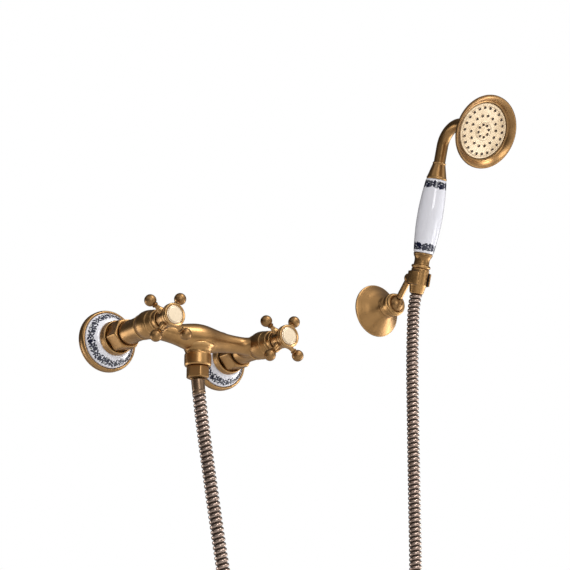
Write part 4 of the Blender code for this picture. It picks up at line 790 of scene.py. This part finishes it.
def add_handle(side):
    place, body = INLET[side], HANDLE_BODY[side]
    hub = [
        (0, DIAL_FRONT - 3.5), (BUTTON_RADIUS + 0.35, DIAL_FRONT - 3.5),
        (BUTTON_RADIUS + 0.35, DIAL_FRONT - 0.9, 0.4), (BUTTON_RADIUS + 1.1, DIAL_FRONT - 0.5, 0.5),
        (DIAL_RADIUS - 1.1, DIAL_FRONT, 0.7), (DIAL_RADIUS - 0.1, DIAL_FRONT - 1.1, 0.7),
        (DIAL_RADIUS - 0.1, DIAL_FRONT - 3.0, 0.4), (DIAL_RADIUS - 0.7, DIAL_FRONT - 3.7, 0.2),
        (DIAL_RADIUS, DIAL_FRONT - 4.5, 0.5), (DIAL_RADIUS - 0.1, DIAL_BACK + 1.2, 0.8),
        (DIAL_RADIUS - 1.8, DIAL_BACK, 1.0), (HUB_WAIST + 0.9, DIAL_BACK - 1.6, 0.8),
        (HUB_WAIST + 0.2, DIAL_BACK - 3.0, 0.6), (HUB_WAIST + 0.5, SPOKE_DEPTH, 3.0),
        (HUB_WAIST, SPOKE_DEPTH - 4.4, 0.8), (HUB_WAIST - 0.7, HUB_BACK + 0.9, 0.5),
        (HUB_WAIST - 1.4, HUB_BACK, 0.4), (0, HUB_BACK)]
    parts = [turned(eased(hub), place, steps=96)]
    neck = SPOKE_REACH - BALL_RADIUS
    spoke = eased([
        (0, 4.0), (4.4, 4.0), (4.1, HUB_WAIST + 0.9, 1.5), (2.9, HUB_WAIST + 3.4, 2.0),
        (2.4, neck - 2.4, 0.8), (2.5, neck - 1.7, 0.2), (3.5, neck - 1.3, 0.35), (3.6, neck - 0.2, 0.35),
        (2.7, neck + 0.3, 0.2), (2.4, neck + 0.6, 0.2)])
    ball = arc(BALL_RADIUS, (0, SPOKE_REACH), -65, 90, 30)
    outline = np.concatenate([spoke[:-1], ball])
    for k in range(4):
        angle = HANDLE_REST[side] + k * math.pi / 2
        cos, sin = math.cos(angle), math.sin(angle)
        axes = np.array([[-sin, cos, 0], [0, 0, 1.0], [cos, sin, 0]]) @ place[1]
        origin = place[0] + np.array([0, 0, SPOKE_DEPTH]) @ place[1]
        parts.append(turned(outline, (origin, axes), steps=40))
    make_piece(f"cross_head_{side}", joined(*parts), AGED_FINE, body, [f"cross_handle_{side}"])
    rings = [(BUTTON_RADIUS - 0.1, DIAL_FRONT - 3.1), (BUTTON_RADIUS, DIAL_FRONT - 0.9, 0.3)]
    for radius, height in ((9.2, -0.5), (8.9, -0.9), (8.5, -0.3), (8.1, 0.0), (2.0, 0.05)):
        rings.append((radius, DIAL_FRONT + height, 0.25))
    dial = eased([(0, DIAL_FRONT - 3.1), *rings, (0, DIAL_FRONT)], 0.25)[::-1]
    make_piece(
        f"dial_{side}", lathe(dial, place, steps=96), PALE, body, [f"index_button_{side}"])


# --- outlet ---------------------------------------------------------------------------------------
def add_outlet():
    top = -OUTLET_TOP - 0.15
    wide, thread = OUTLET_RADIUS, 10.2
    collar = [
        (0, top), (wide - 0.8, top, 0.3), (wide - 0.1, top - 0.9, 0.6), (wide, top - 6.0, 1.0),
        (wide - 0.1, OUTLET_BOTTOM + 2.0, 0.6), (wide - 0.8, OUTLET_BOTTOM + 0.3, 0.7),
        (thread, OUTLET_BOTTOM, 0.3), (thread, OUTLET_BOTTOM - 8.4), (0, OUTLET_BOTTOM - 8.4)]
    make_piece(
        "outlet_sleeve", lathe(eased(collar), OUTLET, steps=96), AGED, "root",
        ["outlet_collar"])
    nut = hexagon(22.6, HOSE_NUT_BOTTOM, OUTLET_BOTTOM - GAP, 8.0, 2.1, OUTLET, math.radians(12))
    make_piece("hose_hex", nut, AGED, "root", ["hose_nut"])
    low = -FERRULE_DROP - FERRULE_LENGTH
    wide = FERRULE_RADIUS
    sleeve = [
        (0, -FERRULE_DROP), (wide - 0.5, -FERRULE_DROP, 0.3), (wide - 0.3, -FERRULE_DROP - 1.0, 0.4),
        (wide - 0.4, low + 6.0, 1.0), (wide - 0.5, low + 4.4, 0.2), (wide - 0.9, low + 4.0, 0.2),
        (wide - 0.3, low + 3.5, 0.2), (wide - 0.1, low + 1.2, 0.4), (wide - 0.7, low, 0.3), (0, low)]
    lean = FERRULE_LEAN
    axes = np.array([[math.cos(lean), 0, math.sin(lean)], [0, 1.0, 0], [-math.sin(lean), 0, math.cos(lean)]])
    origin = np.array([0, -BODY_DEPTH, HOSE_NUT_BOTTOM])
    make_piece(
        "ferrule_sleeve", lathe(eased(sleeve), (origin, axes), steps=72), AGED_DARK, "root",
        ["hose_ferrule"])


# --- bracket --------------------------------------------------------------------------------------
ROSE_RADIUS, ROSE_HEIGHT, ROSE_NECK = 33.0, 25.0, 12.2
ARM_BALL_RADIUS, RING_NUT_BACK, RING_NUT_FRONT, RING_NUT_RADIUS = 9.8, 26.6, 41.8, 14.3
ARM_LENGTH, ARM_RADIUS = 36.0, 3.9
CRADLE_RADIUS, CRADLE_HEIGHT, CRADLE_WALL, SLOT_WIDTH = 14.2, 15.6, 1.6, 16.0


def add_bracket():
    bell = flowing([(ROSE_NECK + 0.4, ROSE_HEIGHT - 3.4), (ROSE_NECK + 1.4, ROSE_HEIGHT - 5.8),
                    (ROSE_RADIUS * 0.58, ROSE_HEIGHT * 0.54), (ROSE_RADIUS * 0.74, ROSE_HEIGHT * 0.36),
                    (ROSE_RADIUS * 0.88, ROSE_HEIGHT * 0.20), (ROSE_RADIUS - 1.4, ROSE_HEIGHT * 0.115)], 8)
    outer = [
        (8.95, ROSE_HEIGHT), (ROSE_NECK - 0.7, ROSE_HEIGHT, 0.4), (ROSE_NECK, ROSE_HEIGHT - 0.9, 0.5),
        (ROSE_NECK - 0.2, ROSE_HEIGHT - 2.4, 0.4), *bell, (ROSE_RADIUS - 0.3, 2.3, 0.5),
        (ROSE_RADIUS, 1.4, 0.5), (ROSE_RADIUS - 0.1, 0.4, 0.3), (ROSE_RADIUS - 0.6, 0.0, 0.2), (29.8, 0.0),
        (28.4, 3.0), (22.6, 7.4), (17.4, 11.8), (12.9, 16.0), (8.95, 19.0), (8.95, ROSE_HEIGHT)]
    make_piece(
        "bell_rose", lathe(eased(outer, 0.3), BRACKET, steps=144), AGED, "root",
        ["bracket_escutcheon"])
    front, back, radius = RING_NUT_FRONT, RING_NUT_BACK, RING_NUT_RADIUS
    nut = [
        (9.75, front), (radius - 2.4, front, 0.8), (radius - 0.7, front - 1.4, 0.8),
        (radius - 0.5, front - 3.4, 0.3), (radius - 1.2, front - 4.0, 0.2), (radius, front - 4.7, 0.4),
        (radius, back + 4.4, 0.4), (radius - 0.9, back + 3.8, 0.2), (radius - 0.1, back + 3.1, 0.3),
        (radius - 0.1, back + 2.0, 0.3), (radius - 1.1, back + 1.4, 0.2), (radius - 0.6, back + 0.7, 0.3),
        (radius - 1.2, back, 0.3), (11.85, back), (11.85, 36.2), (10.4, 39.0), (9.75, front)]
    make_piece("ball_nut", lathe(eased(nut), BRACKET, steps=96), AGED, "root", ["ring_nut"])
    ball = arc(ARM_BALL_RADIUS, (0, 0), -90, 90, 40)
    make_piece(
        "swivel_ball", lathe(ball, ARM, steps=64), AGED_FINE, "bracket_ball", ["arm_ball"])
    stem = eased([
        (0, ARM_BALL_RADIUS + 0.15), (ARM_RADIUS, ARM_BALL_RADIUS - 0.3, 0.3),
        (ARM_RADIUS, ARM_BALL_RADIUS + 2.6, 0.6), (ARM_RADIUS, ARM_LENGTH - 6, 1.0), (ARM_RADIUS, ARM_LENGTH),
        (0, ARM_LENGTH)])
    make_piece("arm_stem", lathe(stem, ARM, steps=40), AGED, "holder_arm", ["arm_rod"])


def c_ring(outer, inner, half_height, mouth, place, ease=0.5, count=72):
    """Open ring: a rounded section carried round an arc that leaves a mouth of the given width at -Y."""
    open_angle = math.asin(min(0.98, mouth / 2 / outer))
    angles = np.linspace(-math.pi / 2 + open_angle, 1.5 * math.pi - open_angle, count)
    section = []
    for corner_r, corner_h, first in (
            (outer, half_height, 90), (outer, -half_height, 0), (inner, -half_height, -90),
                                      (inner, half_height, -180)):
        sign_r, sign_h = (1 if corner_r == outer else -1), (1 if corner_h > 0 else -1)
        centre = (corner_r - sign_r * ease, corner_h - sign_h * ease)
        section.append(arc(ease, centre, first, first - 90, 5))
    section = np.concatenate(section)
    centre = section.mean(axis=0)
    shrink = np.concatenate([[0.0, 0.7, 0.92], np.ones(count - 6), [0.92, 0.7, 0.0]])
    profile = centre + (section[None] - centre) * shrink[:, None, None]
    cos, sin = np.cos(angles)[:, None], np.sin(angles)[:, None]
    local = np.stack([profile[:, :, 0] * cos, profile[:, :, 0] * sin, profile[:, :, 1]], axis=2)
    points = local.reshape(-1, 3) @ place[1] + place[0]
    quads = grid_faces(count, len(section), False, True)
    uv = np.stack([np.repeat(angles / 6, len(section)), points[:, 2] / 10], axis=1)
    return points, quads, uv, np.zeros(len(points))


def add_cradle():
    half = CRADLE_HEIGHT / 2
    clip = c_ring(CRADLE_RADIUS, CRADLE_RADIUS - CRADLE_WALL, half, SLOT_WIDTH, GRIP, 0.6)
    boss_frame = (
        GRIP[0] + np.array([0, 0, -0.6]) @ GRIP[1],
        np.array([[1.0, 0, 0], [0, 0, -1.0], [0, 1.0, 0]]) @ GRIP[1])
    start = CRADLE_RADIUS - CRADLE_WALL + 0.5
    boss = eased([
        (0, start), (6.6, start), (6.4, CRADLE_RADIUS + 1.4, 1.2), (5.8, CRADLE_RADIUS + 3.2, 0.8),
        (5.8, CRADLE_RADIUS + 7.4, 1.0), (4.6, CRADLE_RADIUS + 9.0, 1.2), (0, CRADLE_RADIUS + 9.3, 0.5)])
    make_piece(
        "cradle_clip", joined(clip, turned(boss, boss_frame, steps=48)), AGED, "holder_arm",
        ["cradle"])
    inner = CRADLE_RADIUS - CRADLE_WALL - 0.3
    lining = c_ring(inner, inner - 1.0, half + 0.6, SLOT_WIDTH - 1.6, GRIP, 0.3)
    make_piece("cradle_lining", joined(lining), LINER, "holder_arm", ["cradle_liner"])


# --- hand shower ----------------------------------------------------------------------------------
CONE_RADIUS, CONE_TOP, CONE_TAIL = 11.0, 12.4, 8.5
TAIL_TOP, TAIL_RADIUS, TAIL_WAIST = 31.3, 11.8, 9.4
CERAMIC_LENGTH, CERAMIC_BOTTOM, CERAMIC_BELLY, CERAMIC_TOP = 91.0, 12.1, 15.6, 12.5
NECK_LENGTH, ELBOW_RADIUS, ELBOW_STRAIGHT, BEND_RADIUS, HEAD_NECK_LENGTH = 21.2, 7.1, 20.0, 28.0, 46.0
HEAD_RADIUS, PLATE_RADIUS, PLATE_DEPTH, PLATE_THICK = 44.7, 34.2, 6.4, 3.0
NOZZLE_RINGS = ((22, 0.82), (14, 0.54), (8, 0.22))
NOZZLE_RADIUS = 1.4
BAND_HEIGHT = 11.0


def grip_band(profile, length):
    """Pattern map of the two borders, one at each end of the grip."""
    low, high = profile[:, 1].min(), profile[:, 1].max()
    across = np.minimum(profile[:, 1] - low - 1.6, high - 1.6 - profile[:, 1]) / BAND_HEIGHT
    return np.where(profile[:, 0] < CERAMIC_BOTTOM - 1.2, -0.5, across)


def grip_radius(share):
    ends = CERAMIC_BOTTOM + (CERAMIC_TOP - CERAMIC_BOTTOM) * share
    crown = CERAMIC_BELLY - (CERAMIC_BOTTOM + CERAMIC_TOP) / 2
    return ends + crown * np.sin(math.pi * np.clip(share, 0, 1)) ** 0.9


def add_grip():
    nut = [
        (0, CONE_TOP), (CONE_RADIUS - 0.9, CONE_TOP, 0.3), (CONE_RADIUS, CONE_TOP - 0.9, 0.5),
        (CONE_RADIUS, CRADLE_HEIGHT / 2 + 1.4, 1.0), (CONE_RADIUS - 0.3, -CRADLE_HEIGHT / 2, 1.0),
        (CONE_RADIUS - 0.9, -CRADLE_HEIGHT / 2 - 1.2, 0.6), (CONE_TAIL + 0.3, CONE_BOTTOM + 2.4, 0.6),
        (CONE_TAIL + 0.1, CONE_BOTTOM + 0.8, 0.5), (CONE_TAIL - 0.8, CONE_BOTTOM, 0.4), (0, CONE_BOTTOM)]
    make_piece("grip_nut", lathe(eased(nut), GRIP, steps=72), AGED, "hose_end", ["cone_nut"])
    bead = CONE_TOP + 0.3
    waist = flowing([(TAIL_RADIUS - 0.5, TAIL_TOP - 3.4), (TAIL_WAIST + 0.4, TAIL_TOP - 6.0),
                     (TAIL_WAIST - 0.1, TAIL_TOP - 9.0), (TAIL_WAIST, bead + 5.4)], 6)
    tail = [
        (0, TAIL_TOP), (TAIL_RADIUS - 0.6, TAIL_TOP, 0.3), (TAIL_RADIUS, TAIL_TOP - 0.8, 0.4),
        (TAIL_RADIUS, TAIL_TOP - 1.9, 0.4), (TAIL_RADIUS - 0.5, TAIL_TOP - 2.5, 0.2), *waist,
        (TAIL_WAIST + 0.1, bead + 4.2, 0.3), (TAIL_RADIUS - 0.6, bead + 3.6, 0.5),
        (TAIL_RADIUS, bead + 2.4, 0.8), (TAIL_RADIUS, bead + 1.3, 0.6), (TAIL_RADIUS - 0.8, bead + 0.1, 0.5),
        (9.0, bead, 0.2), (9.0, 2.6), (0, 2.6)]
    make_piece(
        "grip_tail", lathe(eased(tail), GRIP, steps=96), AGED, "handset", ["handset_tail"])
    low = TAIL_TOP + 0.3
    share = np.linspace(1, 0, 60)[1:-1]
    side = np.stack([grip_radius(share), low + CERAMIC_LENGTH * share], axis=1)
    barrel = [
        (6.0, low + CERAMIC_LENGTH), (CERAMIC_TOP - 0.9, low + CERAMIC_LENGTH),
        (CERAMIC_TOP - 0.1, low + CERAMIC_LENGTH - 0.5), *side, (CERAMIC_BOTTOM - 0.1, low + 0.5),
        (CERAMIC_BOTTOM - 0.8, low), (6.0, low), (6.0, low + CERAMIC_LENGTH)]
    make_piece(
        "glazed_grip", lathe(barrel, GRIP, steps=96, tiles=5, band=grip_band), GRIP_GLAZE, "handset",
        ["handset_ceramic"])
    neck_low = low + CERAMIC_LENGTH + 0.3
    neck_high = neck_low + NECK_LENGTH
    cone = [(ELBOW_RADIUS + 0.9, neck_high - 3.0), (CERAMIC_TOP - 0.8, neck_low + 3.6)]
    ferrule = [
        (0, neck_high), (ELBOW_RADIUS + 0.5, neck_high, 0.2), (ELBOW_RADIUS + 1.1, neck_high - 0.7, 0.4),
        (ELBOW_RADIUS + 1.1, neck_high - 1.7, 0.4), (ELBOW_RADIUS + 0.5, neck_high - 2.5, 0.2), *cone,
        (CERAMIC_TOP - 0.7, neck_low + 2.9, 0.2), (CERAMIC_TOP, neck_low + 2.1, 0.4),
        (CERAMIC_TOP, neck_low + 0.8, 0.4), (CERAMIC_TOP - 0.6, neck_low, 0.3), (0, neck_low)]
    make_piece(
        "neck_cone", lathe(eased(ferrule), GRIP, steps=72), AGED, "handset", ["neck_ferrule"])
    return neck_high


def add_head(neck_high):
    bend_start = neck_high + ELBOW_STRAIGHT
    angle = np.linspace(0, BEND_ANGLE, 40)
    bent = np.stack(
        [np.zeros(40), -BEND_RADIUS * (1 - np.cos(angle)), bend_start + BEND_RADIUS * np.sin(angle)], axis=1)
    out = np.array([0, -math.sin(BEND_ANGLE), math.cos(BEND_ANGLE)])
    straight = np.stack([np.zeros(8), np.zeros(8), np.linspace(neck_high - 6, bend_start, 8)], axis=1)[:-1]
    run = bent[-1] + out * np.linspace(0, HEAD_NECK_LENGTH - 13, 10)[1:, None]
    path = np.concatenate([straight, bent, run]) @ GRIP[1] + GRIP[0]
    points, quads, uv, radius, _ = carried(path, lambda s, a: ELBOW_RADIUS + 0 * s + 0 * a, 48)
    shape = joined((points, quads, uv, np.zeros(len(points))))
    make_piece("bent_tube", shape, AGED, "handset", ["handset_elbow"])
    place = tilted((bent[-1] + out * HEAD_NECK_LENGTH) @ GRIP[1] + GRIP[0], LEAN + BEND_ANGLE)
    end = -(HEAD_NECK_LENGTH - 13.0)
    flare = flowing([(HEAD_RADIUS - 1.8, -3.1), (HEAD_RADIUS - 5.4, -8.0), (HEAD_RADIUS - 11.4, -15.2),
                     (HEAD_RADIUS * 0.57, -22.2), (HEAD_RADIUS * 0.37, -27.6), (HEAD_RADIUS * 0.245, -31.6),
                     (ELBOW_RADIUS + 2.4, end - 2.6)], 8)
    inside = flowing([(HEAD_RADIUS - 2.6, 0.15), (HEAD_RADIUS - 4.4, -1.2), (HEAD_RADIUS - 6.6, -3.4),
                      (PLATE_RADIUS + 2.2, -PLATE_DEPTH + 0.7), (PLATE_RADIUS + 0.9, -PLATE_DEPTH + 0.1)], 6)
    bell = [
        (0, end - 8), (ELBOW_RADIUS + 1.0, end - 8, 0.3), (ELBOW_RADIUS + 1.7, end - 7.2, 0.5),
        (ELBOW_RADIUS + 1.7, end - 5.2, 0.4), (ELBOW_RADIUS + 1.2, end - 4.4, 0.2), *flare[::-1],
        (HEAD_RADIUS - 0.5, -2.5, 0.3), (HEAD_RADIUS, -1.6, 0.5), (HEAD_RADIUS - 0.2, -0.1, 0.5),
        (HEAD_RADIUS - 1.2, 0.3, 0.5), *inside, (PLATE_RADIUS + 0.35, -PLATE_DEPTH - 0.2, 0.2),
        (PLATE_RADIUS + 0.3, -PLATE_DEPTH - PLATE_THICK - 0.3), (0, -PLATE_DEPTH - PLATE_THICK - 0.3)]
    make_piece(
        "bell_head", lathe(eased(bell, 0.3), place, steps=144), AGED_FINE, "handset",
        ["spray_head"])
    face = -PLATE_DEPTH
    plate = [
        (0, face - PLATE_THICK), (PLATE_RADIUS, face - PLATE_THICK), (PLATE_RADIUS, face - 0.7, 0.4),
        (PLATE_RADIUS - 0.8, face, 0.4), (PLATE_RADIUS - 3.0, face, 0.3),
        (PLATE_RADIUS - 3.5, face - 0.35, 0.2), (PLATE_RADIUS - 4.0, face, 0.3),
        (PLATE_RADIUS * 0.34, face + 0.1, 0.3), (PLATE_RADIUS * 0.32, face - 0.25, 0.2),
        (PLATE_RADIUS * 0.30, face + 0.1, 0.3), (0, face + 0.15)]
    make_piece(
        "nozzle_plate", lathe(eased(plate), place, steps=144), PALE, "handset", ["spray_plate"])
    rims, holes = [], []
    hole = NOZZLE_RADIUS + 0.35
    rim = eased([(hole, face - 0.4), (hole, face + 0.5, 0.15), (hole + 0.25, face + 0.7, 0.2),
                 (hole + 0.55, face + 0.35, 0.3), (hole + 0.7, face - 0.4), (hole, face - 0.4)], 0.15, 3, 0.5)
    for count, share in NOZZLE_RINGS:
        for k in range(count):
            a = 2 * math.pi * (k + 0.5) / count
            spot = (PLATE_RADIUS * share * math.cos(a), PLATE_RADIUS * share * math.sin(a))
            rims.append(turned(rim, place, steps=12, centre=spot))
            # A dark disc inside each rim stands for the hole's shaded interior: painted shade.
            holes.append(turned(
                [(0, face + 0.4), (hole + 0.1, face + 0.4), (hole + 0.1, face - 0.3), (0, face - 0.3)], place,
                steps=10, centre=spot))
    make_piece("nozzle_rims", joined(*rims), PALE, "handset")
    make_piece("nozzle_bores", joined(*holes), SHADOW, "handset")


# --- light and surroundings -----------------------------------------------------------------------
FLOOR_LEVEL, FLOOR_REACH = -0.70, 3
LIGHT_AIM = (0.15, -0.05, 0.05)
LIGHTS = (  # name, place, size, power
    ("key", (0.6, -1.4, 1.9), (0.8, 0.7), 24),
    ("front", (1.3, -1.9, 0.75), (1.8, 0.9), 5),
    ("low", (1.6, -1.75, -0.5), (0.9, 0.5), 3.8),
    ("fill", (-0.7, -2.2, 0.5), (0.8, 1.3), 15),
    ("side", (1.95, -0.05, -0.3), (0.5, 1.1), 6),
    ("bounce", (1.5, -0.2, -0.5), (0.8, 0.8), 9),
    ("wall", (-1.0, 1.25, -0.35), (0.8, 0.7), 6),
    ("back", (-1.5, -0.1, 1.3), (0.5, 1.2), 1.5),
)


def add_light(name, location, size, power):
    lamp = bpy.data.lights.new(name, "AREA")
    lamp.shape = "RECTANGLE"
    lamp.size, lamp.size_y = size
    lamp.energy = power
    holder = bpy.data.objects.new(name, lamp)
    holder.location = location
    holder.rotation_euler = (Vector(location) - Vector(LIGHT_AIM)).to_track_quat("Z", "Y").to_euler()
    bpy.context.scene.collection.objects.link(holder)


def add_surroundings():
    world = bpy.data.worlds.new("studio")
    world.use_nodes = True
    bpy.context.scene.world = world
    n = Nodes(world.node_tree)
    shell = world.node_tree.nodes["Background"]
    direction = n.add("ShaderNodeTexCoord").outputs["Generated"]
    split = n.add("ShaderNodeSeparateXYZ")
    n.feed(split.inputs[0], direction)
    ramp = n.add("ShaderNodeValToRGB")
    stops = ramp.color_ramp
    stops.elements[0].position, stops.elements[0].color = 0.0, rgba((0.045, 0.038, 0.034))
    stops.elements[1].position, stops.elements[1].color = 1.0, rgba((0.72, 0.71, 0.71))
    middle = stops.elements.new(0.45)
    middle.color = rgba((0.11, 0.105, 0.10))
    n.feed(ramp.inputs[0], n.spread(split.outputs[2], -0.8, 0.9))
    facing = n.spread(split.outputs[1], -0.35, 0.45, 1.0, 0.12)
    shell.inputs["Strength"].default_value = 1.0
    dimmed = n.blend(facing, rgba((0.0, 0.0, 0.0)), ramp.outputs["Color"])
    seen = n.add("ShaderNodeLightPath").outputs["Is Camera Ray"]
    n.feed(shell.inputs["Color"], n.blend(seen, dimmed, rgba((1.0, 1.0, 1.0))))
    floor = bpy.data.meshes.new("floor")
    corners = [
        (x * FLOOR_REACH, y * FLOOR_REACH, FLOOR_LEVEL) for x, y in ((-1, -1), (1, -1), (1, 1), (-1, 1))]
    floor.from_pydata(corners, [], [(0, 1, 2, 3)])
    floor.materials.append(plain("pale_floor", (0.86, 0.86, 0.86), 0.8, 0.02))
    ground = bpy.data.objects.new("floor", floor)
    bpy.context.scene.collection.objects.link(ground)
    for light in LIGHTS:
        add_light(*light)
    view = bpy.context.scene.view_settings
    view.view_transform, view.look = "Standard", "None"


# --- assembly -------------------------------------------------------------------------------------
add_camera()
add_hose()
finish_cad_nodes()
for one_side in SIDES:
    add_inlet(one_side)
    add_bonnet(one_side)
    add_handle(one_side)
add_mixer_body()
add_outlet()
add_bracket()
add_cradle()
add_head(add_grip())
add_surroundings()
